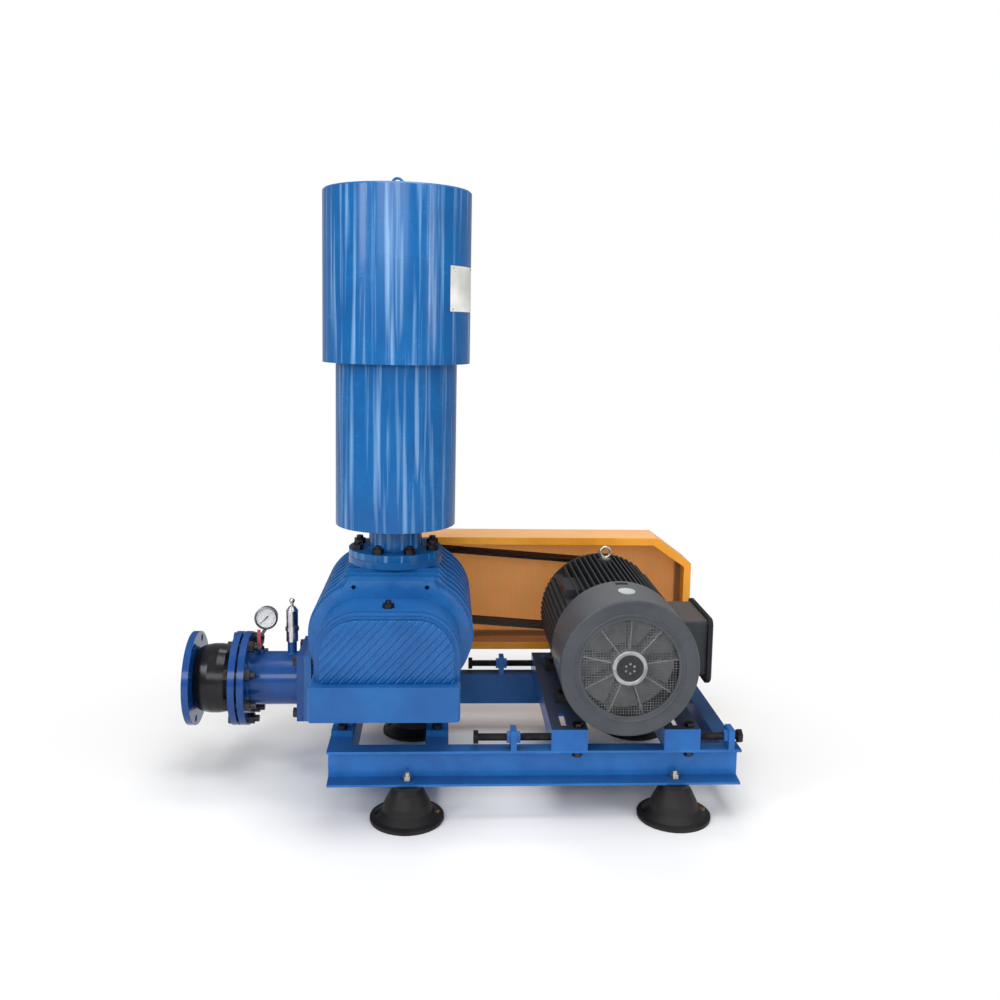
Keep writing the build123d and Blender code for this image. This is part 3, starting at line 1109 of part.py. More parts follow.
def make_slide_rail(x):
    """Slide rail: an inverted trough with end plates, slotted for the holding-down bolts."""
    half = SLIDE_RAIL_WIDTH / 2
    wall = SLIDE_RAIL_WALL
    top = RAIL_TOP + SLIDE_RAIL_HEIGHT
    rail = block(x - half, x + half, 0, FRAME_WIDTH, RAIL_TOP, top)
    rail -= block(x - half + wall, x + half - wall, wall, FRAME_WIDTH - wall, RAIL_TOP - 1, top - wall)
    for middle in (73.0, FRAME_WIDTH - 73.0):
        rail -= block(x - 21, x - 5, middle - 43, middle + 43, top - wall - 1, top + 1)
    for y in FOOT_YS:
        rail -= rod_z(x + CLAMP_BOLT_OFFSET, y, top - wall - 1, top + 1, CLAMP_BOLT_RADIUS + SEAT_GAP)
    side = 1 if x < MOTOR_X else -1
    foot_x = MOTOR_X - side * (MOTOR_FOOT_SPACING / 2 + MOTOR_FOOT_OUTSET)
    for y in MOTOR_FOOT_YS:
        rail -= rod_z(foot_x, y, top - wall - 1, top + 1, MOTOR_BOLT_RADIUS)
    return rail


def motor_nodes():
    rail_top = RAIL_TOP + SLIDE_RAIL_HEIGHT
    foot_bolts = []
    for side in (-1, 1):
        for y in MOTOR_FOOT_YS:
            x = MOTOR_X + side * (MOTOR_FOOT_SPACING / 2 + MOTOR_FOOT_OUTSET)
            shank = rod_z(x, y, rail_top - SLIDE_RAIL_WALL - 14, rail_top + 34, MOTOR_BOLT_RADIUS - 1)
            nut = Pos(x, y, rail_top + MOTOR_FOOT_THICKNESS) * hexagon_bar(22, 10)
            head = Pos(x, y, rail_top - SLIDE_RAIL_WALL - 10) * hexagon_bar(22, 10)
            foot_bolts.append(shank + nut + head)
    clamp_bolts = []
    nut_top = RAIL_TOP - CHANNEL_FLANGE_THICKNESS * 1.25 - SEAT_GAP
    for x in RAIL_XS:
        for y in FOOT_YS:
            shank = rod_z(x + CLAMP_BOLT_OFFSET, y, nut_top - 16, rail_top + 1, CLAMP_BOLT_RADIUS)
            head = Pos(x + CLAMP_BOLT_OFFSET, y, rail_top) * hexagon_bar(24, 10)
            nut = Pos(x + CLAMP_BOLT_OFFSET, y, nut_top - 13) * hexagon_bar(24, 13)
            clamp_bolts.append(shank + head + nut)
    front_end = COWL_END_Y - SHIELD_DEPTH_FRONT
    rear_end = BARREL_END_Y + SHIELD_DEPTH_REAR
    front_shield = make_shield(front_end, COWL_END_Y, front_end, COWL_RADIUS - COWL_WALL)
    rear_shield = make_shield(BARREL_END_Y, rear_end, rear_end, FIN_RADIUS - 4)
    shaft = rod_y(MOTOR_X, MOTOR_Z, COWL_FRONT_Y + 44, PULLEY_BACK_Y - SHAFT_END_SETBACK, MOTOR_SHAFT_RADIUS)
    core = rod_y(MOTOR_X, MOTOR_Z, CORE_Y0, CORE_Y1, CORE_RADIUS_MOTOR)
    core += rod_y(MOTOR_X, MOTOR_Z, CORE_Y0 - 22, CORE_Y1 + 22, CORE_RADIUS_MOTOR - 22)
    stator = rod_y(MOTOR_X, MOTOR_Z, CORE_Y0, CORE_Y1, STATOR_RADIUS)
    stator -= rod_y(MOTOR_X, MOTOR_Z, CORE_Y0 - 1, CORE_Y1 + 1, CORE_RADIUS_MOTOR + AIR_GAP)
    windings = []
    for y0 in (CORE_Y0 - WINDING_REACH, CORE_Y1):
        ring = rod_y(MOTOR_X, MOTOR_Z, y0, y0 + WINDING_REACH, STATOR_RADIUS - 12)
        ring -= rod_y(MOTOR_X, MOTOR_Z, y0 - 1, y0 + WINDING_REACH + 1, CORE_RADIUS_MOTOR + 4)
        windings.append(ring)
    eye_z = MOTOR_Z + FIN_RADIUS + EYEBOLT_BOSS_RISE
    eyebolt = rod_z(MOTOR_X, EYEBOLT_Y, eye_z, eye_z + 5, 14)
    ring = Rot(90, 0, 0) * Torus(EYEBOLT_RING_RADIUS, EYEBOLT_WIRE_RADIUS)
    eyebolt += Pos(MOTOR_X, EYEBOLT_Y, eye_z + EYEBOLT_RING_RADIUS + 6) * ring
    glands = []
    box_x = TERMINAL_X + TERMINAL_DEPTH / 2 + 2.5
    box_z = MOTOR_Z - TERMINAL_BELOW
    for side in (-1, 1):
        y = TERMINAL_Y + side * GLAND_SPACING / 2
        gland = rod_z(box_x, y, box_z - 6, box_z + TERMINAL_WALL + 2, GLAND_RADIUS - 2 * RUNNING_CLEARANCE)
        glands.append(gland + Pos(box_x, y, box_z - 16) * hexagon_bar(36, 16))
    floor_x = TERMINAL_X + TERMINAL_WALL - 1
    terminals = block(floor_x, floor_x + 15, TERMINAL_Y - 55, TERMINAL_Y + 55, MOTOR_Z - 50, MOTOR_Z + 15)
    for i in range(3):
        for z in (MOTOR_Z - 34, MOTOR_Z - 2):
            terminals += rod_x(TERMINAL_Y - 36 + 36 * i, z, floor_x + 14, floor_x + 31, 4)
    return {
        "slide_rail_left": make_slide_rail(RAIL_XS[0]),
        "slide_rail_right": make_slide_rail(RAIL_XS[1]),
        "motor_fasteners": gather(clamp_bolts + foot_bolts + [eyebolt]),
        "motor_barrel": make_motor_barrel(),
        "motor_stator": gather([stator] + windings),
        "motor_end_shields": gather([hollow_shield(front_shield, COWL_END_Y, front_end),
                                     hollow_shield(rear_shield, BARREL_END_Y, rear_end)]),
        "motor_bearings": gather([motor_bearing(front_end + 10), motor_bearing(rear_end - 10 - BEARING_WIDTH)]),
        "motor_cowl": make_cowl(),
        "motor_cowl_grille": make_grille(),
        "terminal_box": make_terminal_box(),
        "terminal_box_lid": make_terminal_lid(),
        "terminals_and_glands": gather([terminals] + glands),
        "motor_rotor_shaft": shaft + core,
        "motor_fan": make_fan(),
    }


# ---- belt drive -------------------------------------------------------------------------
def belt_ys():
    """Centre planes of the V-belts."""
    return [BELT_Y + (i - (BELT_COUNT - 1) / 2) * BELT_PITCH for i in range(BELT_COUNT)]


def make_pulley(x, z, bore):
    """Grooved V-belt pulley with a webbed body."""
    top = PULLEY_RADIUS
    root = PULLEY_RADIUS - BELT_HEIGHT - 1.0
    slope = tan_half_groove()
    points = [(bore, PULLEY_FRONT_Y), (top, PULLEY_FRONT_Y)]
    for y in belt_ys():
        half_top = BELT_TOP_WIDTH / 2 - BELT_RISE * slope + BELT_CLEARANCE
        half_root = half_top - (top - root) * slope
        points += [(top, y - half_top), (root, y - half_root), (root, y + half_root), (top, y + half_top)]
    points += [(top, PULLEY_BACK_Y), (bore, PULLEY_BACK_Y)]
    pulley = turned_y(points, x, z)
    for face_y in ((PULLEY_FRONT_Y - 1, PULLEY_FRONT_Y + 24), (PULLEY_BACK_Y - 24, PULLEY_BACK_Y + 1)):
        recess = rod_y(x, z, face_y[0], face_y[1], PULLEY_RADIUS - 26)
        pulley -= recess - rod_y(x, z, face_y[0], face_y[1], 50)
    return pulley


def tan_half_groove():
    """Tangent of half the groove angle."""
    return sin(radians(18)) / cos(radians(18))


def make_belt(y):
    """One V-belt round both pulleys, in trapezoid section."""
    outer = PULLEY_RADIUS + BELT_RISE
    inner = outer - BELT_HEIGHT
    half_top = BELT_TOP_WIDTH / 2
    half_low = half_top - BELT_HEIGHT * tan_half_groove()
    section = [(outer, y - half_top), (outer, y + half_top), (inner, y + half_low), (inner, y - half_low)]
    span = hypot(MOTOR_X - DRIVE_X, MOTOR_Z - ROTOR_Z)
    ring = turned_y(section, 0, 0)
    big = 4 * PULLEY_RADIUS
    near = ring - block(0, big, y - big, y + big, -big, big)
    far = Pos(span, 0, 0) * (ring - block(-big, 0, y - big, y + big, -big, big))
    run = along_x(Polygon(*[(v, u) for u, v in section], align=None), 0, span)
    back = along_x(Polygon(*[(v, -u) for u, v in section], align=None), 0, span)
    dip = degrees(atan2(ROTOR_Z - MOTOR_Z, MOTOR_X - DRIVE_X))
    return Pos(DRIVE_X, 0, ROTOR_Z) * Rot(0, dip, 0) * (near + far + run + back)


def guard_outline(inset):
    """Guard outline in (X, Z), with the cut corner at the upper right."""
    x0 = GUARD_LEFT + inset
    x1 = GUARD_RIGHT - inset
    z0 = GUARD_BOTTOM + inset
    z1 = GUARD_TOP - inset
    lean = hypot(GUARD_CHAMFER_X, GUARD_CHAMFER_Z)
    cut = inset * (1 + (GUARD_CHAMFER_Z - lean) / GUARD_CHAMFER_X) if inset else 0.0
    return Polygon((x0, z0), (x1, z0), (x1, z1 - GUARD_CHAMFER_Z + cut), (x1 - GUARD_CHAMFER_X + cut, z1),
                   (x0, z1), align=None)


def make_guard():
    """Sheet guard: a box open at the front, with turned-in lips front and back."""
    back = GUARD_FRONT + GUARD_DEPTH
    shell = along_y(guard_outline(0), GUARD_FRONT, back)
    shell -= along_y(guard_outline(GUARD_SHEET), GUARD_FRONT + GUARD_SHEET, back - GUARD_SHEET)
    return shell - along_y(guard_outline(GUARD_LIP), GUARD_FRONT - 1, back + 1)


def make_guard_bracket(x):
    """Folded strap from the rear rail's top to the guard's underside."""
    y0 = FRAME_WIDTH - CHANNEL_FLANGE + 4
    y1 = FRAME_WIDTH - 2
    tip = GUARD_FRONT + GUARD_DEPTH - BRACKET_SETBACK
    sheet = BRACKET_SHEET
    outline = Polygon((y0, RAIL_TOP), (y1, RAIL_TOP), (y1, GUARD_BOTTOM - sheet), (tip, GUARD_BOTTOM - sheet),
                      (tip, GUARD_BOTTOM), (y1 - sheet, GUARD_BOTTOM), (y1 - sheet, RAIL_TOP + sheet),
                      (y0, RAIL_TOP + sheet), align=None)
    return along_x(outline, x - BRACKET_HALF_WIDTH, x + BRACKET_HALF_WIDTH)


def belt_nodes():
    back = GUARD_FRONT + GUARD_DEPTH
    mesh = along_y(guard_outline(GUARD_SHEET), back - 2 * GUARD_SHEET, back - GUARD_SHEET)
    return {
        "blower_pulley": make_pulley(DRIVE_X, ROTOR_Z, SHAFT_RADIUS),
        "motor_pulley": make_pulley(MOTOR_X, MOTOR_Z, MOTOR_SHAFT_RADIUS),
        "drive_belts": gather(make_belt(y) for y in belt_ys()),
        "belt_guard": make_guard(),
        "belt_guard_mesh": mesh,
        "belt_guard_brackets": gather(make_guard_bracket(x) for x in (BLOWER_X, MOTOR_X)),
    }


# ---- jack bolts -------------------------------------------------------------------------
def make_jack_bolt(tip_x, length, direction, y):
    """Jack bolt whose tip bears on a slide rail; direction points from the tip to the head."""
    head_x = tip_x + direction * length
    low, high = sorted((tip_x, head_x))
    bolt = rod_x(y, JACK_Z, low, high, JACK_RADIUS)
    turn = 90 if direction > 0 else -90
    return bolt + Pos(head_x, y, JACK_Z) * Rot(0, turn, 0) * hexagon_bar(JACK_HEAD_FLATS, JACK_HEAD_HEIGHT)


def make_jack_bracket(x0, y):
    """Upright plate that holds a jack bolt, standing on the rail."""
    half = CHANNEL_FLANGE / 2
    plate = block(x0, x0 + JACK_BRACKET_THICKNESS, y - half, y + half, RAIL_TOP,
                  RAIL_TOP + JACK_BRACKET_HEIGHT)
    return plate - rod_x(y, JACK_Z, x0 - 1, x0 + JACK_BRACKET_THICKNESS + 1, JACK_RADIUS + RUNNING_CLEARANCE)


def make_lock_nut(x0, y):
    """Lock nut run up against a jack bracket."""
    nut = Pos(x0, y, JACK_Z) * Rot(0, 90, 0) * hexagon_bar(30, JACK_NUT_HEIGHT)
    return nut - rod_x(y, JACK_Z, x0 - 1, x0 + JACK_NUT_HEIGHT + 1, JACK_RADIUS + RUNNING_CLEARANCE)


def jack_nodes():
    left_tip = RAIL_XS[0] - SLIDE_RAIL_WIDTH / 2
    right_tip = RAIL_XS[1] + SLIDE_RAIL_WIDTH / 2
    left_bracket = left_tip - JACK_LEFT_REACH - JACK_BRACKET_THICKNESS / 2
    right_bracket = right_tip + JACK_RIGHT_REACH - JACK_BRACKET_THICKNESS / 2
    nuts = []
    nodes = {}
    for place, y in zip(("front", "rear"), FOOT_YS):
        nodes["jack_bolt_left_" + place] = make_jack_bolt(left_tip, JACK_LEFT_LENGTH, -1, y)
        nodes["jack_bolt_right_" + place] = make_jack_bolt(right_tip, JACK_RIGHT_LENGTH, 1, y)
        nuts.append(make_lock_nut(left_bracket - JACK_NUT_HEIGHT, y))
        nuts.append(make_lock_nut(left_bracket + JACK_BRACKET_THICKNESS, y))
        nuts.append(make_lock_nut(right_bracket - JACK_NUT_HEIGHT, y))
    brackets = [make_jack_bracket(x, y) for x in (left_bracket, right_bracket) for y in FOOT_YS]
    nodes["jack_brackets_and_nuts"] = gather(brackets + nuts)
    return nodes


# ---- build and write --------------------------------------------------------------------
nodes = {}
for group in (base_frame_nodes, blower_nodes, silencer_nodes, outlet_nodes, gauge_nodes, motor_nodes,
              belt_nodes, jack_nodes):
    nodes.update(group())
gaskets = [nodes.pop("inlet_gasket"), nodes.pop("outlet_gasket")]
nodes["flange_gaskets"] = gather(gaskets)
bolts = nodes.pop("inlet_flange_bolts") + nodes.pop("outlet_flange_bolts") + nodes.pop("blower_foot_bolts")
nodes["pump_and_flange_bolts"] = gather(bolts)

boxes = [shape.bounding_box() for shape in nodes.values()]
MIDDLE_X = (min(box.min.X for box in boxes) + max(box.max.X for box in boxes)) / 2
MIDDLE_Y = (min(box.min.Y for box in boxes) + max(box.max.Y for box in boxes)) / 2
shift = Location((-MIDDLE_X, -MIDDLE_Y, FOOT_HEIGHT))

os.makedirs("parts", exist_ok=True)
for name, shape in nodes.items():
    export_step(shape.moved(shift), "parts/" + name + ".step")
print("nodes", len(nodes), "middle", round(MIDDLE_X, 3), round(MIDDLE_Y, 3))
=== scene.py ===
import json
from math import cos, pi, radians, sin

import bpy
from mathutils import Matrix, Vector


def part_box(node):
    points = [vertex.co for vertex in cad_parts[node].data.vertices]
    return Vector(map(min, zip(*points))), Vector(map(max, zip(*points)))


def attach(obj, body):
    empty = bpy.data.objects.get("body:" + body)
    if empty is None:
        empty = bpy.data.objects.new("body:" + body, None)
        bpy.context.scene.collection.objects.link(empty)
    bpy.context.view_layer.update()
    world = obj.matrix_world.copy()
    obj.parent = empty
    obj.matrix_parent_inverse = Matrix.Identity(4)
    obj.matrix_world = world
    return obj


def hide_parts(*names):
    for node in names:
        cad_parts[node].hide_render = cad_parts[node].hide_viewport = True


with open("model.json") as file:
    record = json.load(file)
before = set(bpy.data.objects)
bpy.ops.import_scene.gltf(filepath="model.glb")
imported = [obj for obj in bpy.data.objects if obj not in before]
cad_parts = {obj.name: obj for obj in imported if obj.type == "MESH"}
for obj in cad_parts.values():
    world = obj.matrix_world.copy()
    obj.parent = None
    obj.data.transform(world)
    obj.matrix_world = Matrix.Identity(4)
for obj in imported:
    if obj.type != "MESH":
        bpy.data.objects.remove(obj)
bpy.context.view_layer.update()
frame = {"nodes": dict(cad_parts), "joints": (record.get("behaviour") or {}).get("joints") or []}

# ---- Viewpoint ---------------------------------------------------------------------------
# The set is seen from the gear-case side at about head height, a little from the left, with a
# short lens, so the camera leans down slightly and its frame is shifted to keep the set upright.
yaw, pitch, roll = 0.0559, 0.1159, 0.0179
level_forward = Vector((sin(yaw), cos(yaw), 0.0))
level_right = Vector((cos(yaw), -sin(yaw), 0.0))
upward = Vector((0.0, 0.0, 1.0))
forward = level_forward * cos(pitch) - upward * sin(pitch)
true_up = upward * cos(pitch) + level_forward * sin(pitch)
camera_right = level_right * cos(roll) + true_up * sin(roll)
camera_up = true_up * cos(roll) - level_right * sin(roll)
camera_data = bpy.data.cameras.new("viewpoint")
camera_data.sensor_width = 36.0
camera_data.lens = 36.26
camera_data.shift_y = -0.0552
camera_data.clip_end = 60.0
camera = bpy.data.objects.new("viewpoint", camera_data)
bpy.context.scene.collection.objects.link(camera)
turn = Matrix((camera_right, camera_up, -forward)).transposed().to_4x4()
eye = Vector((-0.0390, -2.9964, 1.3481))
camera.matrix_world = Matrix.Translation(eye) @ turn
bpy.context.scene.camera = camera

# ---- Floor and light ---------------------------------------------------------------------
# A pale, even studio floor that keeps the set's shadow and fades to plain white around it, in
# white surroundings. A broad lamp stands in front, a narrow one on each side, one hangs above
# and a high one behind lights the guard's mesh.
bpy.context.scene.view_settings.view_transform = "Standard"
bpy.ops.object.select_all(action="DESELECT")
floor_width = 40.0
floor_gap = 0.0005
shadow_reach, white_reach = 0.75, 1.5
ambient = 0.34
bpy.ops.mesh.primitive_plane_add(size=floor_width, location=(0.0, 0.0, -floor_gap))
floor = bpy.context.object
floor.name = "studio_floor"
floor_paint = bpy.data.materials.new("studio_floor_paint")
floor_paint.use_nodes = True
nodes, links = floor_paint.node_tree.nodes, floor_paint.node_tree.links
shader = nodes["Principled BSDF"]
shader.inputs["Roughness"].default_value = 0.9
speckle = nodes.new("ShaderNodeTexNoise")
speckle.inputs["Scale"].default_value = 3.0
tint = nodes.new("ShaderNodeValToRGB")
tint.color_ramp.elements[0].color = (0.87, 0.87, 0.87, 1.0)
tint.color_ramp.elements[1].color = (0.92, 0.92, 0.92, 1.0)
where = nodes.new("ShaderNodeTexCoord")
links.new(where.outputs["Object"], speckle.inputs["Vector"])
links.new(speckle.outputs["Fac"], tint.inputs["Fac"])
links.new(tint.outputs["Color"], shader.inputs["Base Color"])
reach = nodes.new("ShaderNodeVectorMath")
reach.operation = "LENGTH"
far_off = nodes.new("ShaderNodeMapRange")
far_off.interpolation_type = "SMOOTHSTEP"
far_off.inputs["From Min"].default_value = shadow_reach
far_off.inputs["From Max"].default_value = white_reach
ray = nodes.new("ShaderNodeLightPath")
fade = nodes.new("ShaderNodeMath")
fade.operation = "MULTIPLY"
plain_white = nodes.new("ShaderNodeEmission")
plain_white.inputs["Color"].default_value = (1.0, 1.0, 1.0, 1.0)
blend = nodes.new("ShaderNodeMixShader")
links.new(where.outputs["Object"], reach.inputs[0])
links.new(reach.outputs["Value"], far_off.inputs["Value"])
links.new(far_off.outputs["Result"], fade.inputs[0])
links.new(ray.outputs["Is Camera Ray"], fade.inputs[1])
links.new(fade.outputs["Value"], blend.inputs["Fac"])
links.new(shader.outputs["BSDF"], blend.inputs[1])
links.new(plain_white.outputs["Emission"], blend.inputs[2])
links.new(blend.outputs["Shader"], nodes["Material Output"].inputs["Surface"])
floor.data.materials.append(floor_paint)

surroundings = bpy.data.worlds.new("studio")
bpy.context.scene.world = surroundings
surroundings.use_nodes = True
tree = surroundings.node_tree
glow = tree.nodes["Background"]
glow.inputs["Color"].default_value = (1.0, 1.0, 1.0, 1.0)
ray = tree.nodes.new("ShaderNodeLightPath")
seen = tree.nodes.new("ShaderNodeMath")
seen.operation = "MAXIMUM"
tree.links.new(ray.outputs["Is Camera Ray"], seen.inputs[0])
tree.links.new(ray.outputs["Is Transmission Ray"], seen.inputs[1])
bright = tree.nodes.new("ShaderNodeMapRange")
bright.inputs["To Min"].default_value = ambient
bright.inputs["To Max"].default_value = 1.0
tree.links.new(seen.outputs["Value"], bright.inputs["Value"])
tree.links.new(bright.outputs["Result"], glow.inputs["Strength"])

for name, place, aim, width, height, power in (
        ("lamp_front", (-0.5, -5.2, 2.6), (0.1, 0.0, 0.6), 4.6, 1.6, 112.0),
        ("lamp_left", (-3.2, -2.6, 3.0), (0.0, 0.0, 0.7), 0.8, 2.8, 70.0),
        ("lamp_right", (3.6, -2.6, 2.4), (0.1, 0.0, 0.7), 1.0, 2.4, 40.0),
        ("lamp_above", (0.2, -0.6, 4.2), (0.1, 0.0, 0.5), 2.6, 2.2, 80.0),
        ("lamp_back", (0.2, 3.0, 6.0), (0.1, 0.0, 0.5), 3.0, 1.6, 70.0)):
    lamp_data = bpy.data.lights.new(name, "AREA")
    lamp_data.shape = "RECTANGLE"
    lamp_data.size = width
    lamp_data.size_y = height
    lamp_data.energy = power
    lamp = bpy.data.objects.new(name, lamp_data)
    bpy.context.scene.collection.objects.link(lamp)
    lamp.location = place
    lamp.rotation_euler = (Vector(aim) - Vector(place)).to_track_quat("-Z", "Y").to_euler()


# ---- Base frame --------------------------------------------------------------------------
# Two rolled steel channels joined by box beams and an end channel, welded and sprayed with the
# same gloss blue enamel as the pump; the coat is thin and a little uneven, its tops painted dark as a
# painted reflection.
def enamel(name, colour, worn, roughness, coat, painted_top_tone=(0.02, 0.035, 0.07), painted_top_share=0.0, cast=0.10,
           grain=240.0, painted_streaks=0.0):
    """Sprayed enamel: two drifting tones and a gloss over a grain; faces that look up are duller
    and take a painted top tone by the given share, painted shade or painted highlight for how
    light falls on them, and upright ones can carry painted streaks of reflection."""
    looks_up = 0.70
    paint = bpy.data.materials.new(name)
    paint.use_nodes = True
    nodes, links = paint.node_tree.nodes, paint.node_tree.links
    shader = nodes["Principled BSDF"]
    shader.inputs["Specular IOR Level"].default_value = 0.22
    shader.inputs["Coat Roughness"].default_value = 0.10
    where = nodes.new("ShaderNodeTexCoord")
    drift = nodes.new("ShaderNodeTexNoise")
    drift.inputs["Scale"].default_value = 6.0
    drift.inputs["Detail"].default_value = 7.0
    drift.inputs["Roughness"].default_value = 0.66
    tone = nodes.new("ShaderNodeValToRGB")
    tone.color_ramp.elements[0].position = 0.36
    tone.color_ramp.elements[0].color = (*worn, 1.0)
    tone.color_ramp.elements[1].position = 0.60
    tone.color_ramp.elements[1].color = (*colour, 1.0)
    facing = nodes.new("ShaderNodeNewGeometry")
    split = nodes.new("ShaderNodeSeparateXYZ")
    # Faces that look up are mixed towards a painted top tone: painted shade or painted highlight, not a
    # paint colour.
    painted_top_mask = nodes.new("ShaderNodeMapRange")
    painted_top_mask.inputs["From Min"].default_value = looks_up
    painted_top_mask.inputs["To Max"].default_value = painted_top_share
    with_painted_top = nodes.new("ShaderNodeMix")
    with_painted_top.data_type = "RGBA"
    with_painted_top.inputs["B"].default_value = (*painted_top_tone, 1.0)
    sheen = nodes.new("ShaderNodeMapRange")
    sheen.inputs["To Min"].default_value = roughness - 0.06
    sheen.inputs["To Max"].default_value = roughness + 0.10
    lying = nodes.new("ShaderNodeMapRange")
    lying.inputs["From Min"].default_value = looks_up
    lying.inputs["To Min"].default_value = coat
    lying.inputs["To Max"].default_value = 0.0
    dusty = nodes.new("ShaderNodeMapRange")
    dusty.inputs["From Min"].default_value = looks_up
    dusty.inputs["To Max"].default_value = 0.30
    matt = nodes.new("ShaderNodeMath")
    matt.operation = "ADD"
    peel = nodes.new("ShaderNodeTexNoise")
    peel.inputs["Scale"].default_value = grain
    peel.inputs["Detail"].default_value = 4.0
    relief = nodes.new("ShaderNodeBump")
    relief.inputs["Strength"].default_value = cast
    relief.inputs["Distance"].default_value = 0.0008
    links.new(where.outputs["Object"], drift.inputs["Vector"])
    links.new(where.outputs["Object"], peel.inputs["Vector"])
    links.new(drift.outputs["Fac"], tone.inputs["Fac"])
    links.new(facing.outputs["Normal"], split.inputs["Vector"])
    links.new(split.outputs["Z"], painted_top_mask.inputs["Value"])
    links.new(painted_top_mask.outputs["Result"], with_painted_top.inputs["Factor"])
    links.new(tone.outputs["Color"], with_painted_top.inputs["A"])
    links.new(with_painted_top.outputs["Result"], shader.inputs["Base Color"])
    links.new(drift.outputs["Fac"], sheen.inputs["Value"])
    links.new(split.outputs["Z"], lying.inputs["Value"])
    links.new(lying.outputs["Result"], shader.inputs["Coat Weight"])
    links.new(split.outputs["Z"], dusty.inputs["Value"])
    links.new(sheen.outputs["Result"], matt.inputs[0])
    links.new(dusty.outputs["Result"], matt.inputs[1])
    links.new(matt.outputs["Value"], shader.inputs["Roughness"])
    links.new(peel.outputs["Fac"], relief.inputs["Height"])
    links.new(relief.outputs["Normal"], shader.inputs["Normal"])
    # Pale upright bands are painted into the colour of upright faces: painted reflection of the
    # surroundings.
    if painted_streaks:
        stretch = nodes.new("ShaderNodeMapping")
        stretch.inputs["Scale"].default_value = (1.0, 1.0, 0.030)
        bands = nodes.new("ShaderNodeTexNoise")
        bands.inputs["Scale"].default_value = 56.0
        bands.inputs["Detail"].default_value = 3.0
        bands.inputs["Distortion"].default_value = 0.4
        pick = nodes.new("ShaderNodeMapRange")
        pick.inputs["From Min"].default_value = 0.53
        pick.inputs["From Max"].default_value = 0.74
        pick.inputs["To Max"].default_value = painted_streaks
        with_painted_streaks = nodes.new("ShaderNodeMix")
        with_painted_streaks.data_type = "RGBA"
        with_painted_streaks.inputs["B"].default_value = (0.30, 0.52, 0.80, 1.0)
        upright = nodes.new("ShaderNodeMapRange")
        upright.inputs["From Min"].default_value = 0.30
        upright.inputs["From Max"].default_value = looks_up
        upright.inputs["To Min"].default_value = 1.0
        upright.inputs["To Max"].default_value = 0.0
        on_sides = nodes.new("ShaderNodeMath")
        on_sides.operation = "MULTIPLY"
        links.new(where.outputs["Object"], stretch.inputs["Vector"])
        links.new(stretch.outputs["Vector"], bands.inputs["Vector"])
        links.new(bands.outputs["Fac"], pick.inputs["Value"])
        links.new(split.outputs["Z"], upright.inputs["Value"])
        links.new(pick.outputs["Result"], on_sides.inputs[0])
        links.new(upright.outputs["Result"], on_sides.inputs[1])
        links.new(on_sides.outputs["Value"], with_painted_streaks.inputs["Factor"])
        links.new(with_painted_top.outputs["Result"], with_painted_streaks.inputs["A"])
        links.new(with_painted_streaks.outputs["Result"], shader.inputs["Base Color"])
    return paint


def coat_nodes(paint, *names):
    """Give these solids this finish all over."""
    for name in names:
        mesh = frame["nodes"][name].data
        mesh.materials.clear()
        mesh.materials.append(paint)


# The front rail and beams take a dark tone on their tops: painted reflection of dark surroundings.
frame_enamel = enamel("frame_enamel", (0.017, 0.150, 0.46), (0.010, 0.105, 0.36), 0.34, 0.22,
                      painted_top_share=0.30)
coat_nodes(frame_enamel, "front_rail", "cross_beams", "jack_brackets_and_nuts")
# The rear rail and the end channel get a darker copy of the frame's paint: painted shade, with more
# painted dark on their tops.
shaded_frame_enamel = enamel("rear_frame_enamel", (0.012, 0.100, 0.30), (0.008, 0.070, 0.23), 0.36, 0.20,
                     painted_top_share=0.55)
coat_nodes(shaded_frame_enamel, "rear_rail", "right_cross_channel")
# The slide rails' tops are painted almost black: painted reflection of dark surroundings.
slide_enamel = enamel("slide_rail_enamel", (0.013, 0.130, 0.42), (0.008, 0.090, 0.33), 0.34, 0.20,
                      painted_top_tone=(0.026, 0.031, 0.044), painted_top_share=0.92)
coat_nodes(slide_enamel, "slide_rail_left", "slide_rail_right")


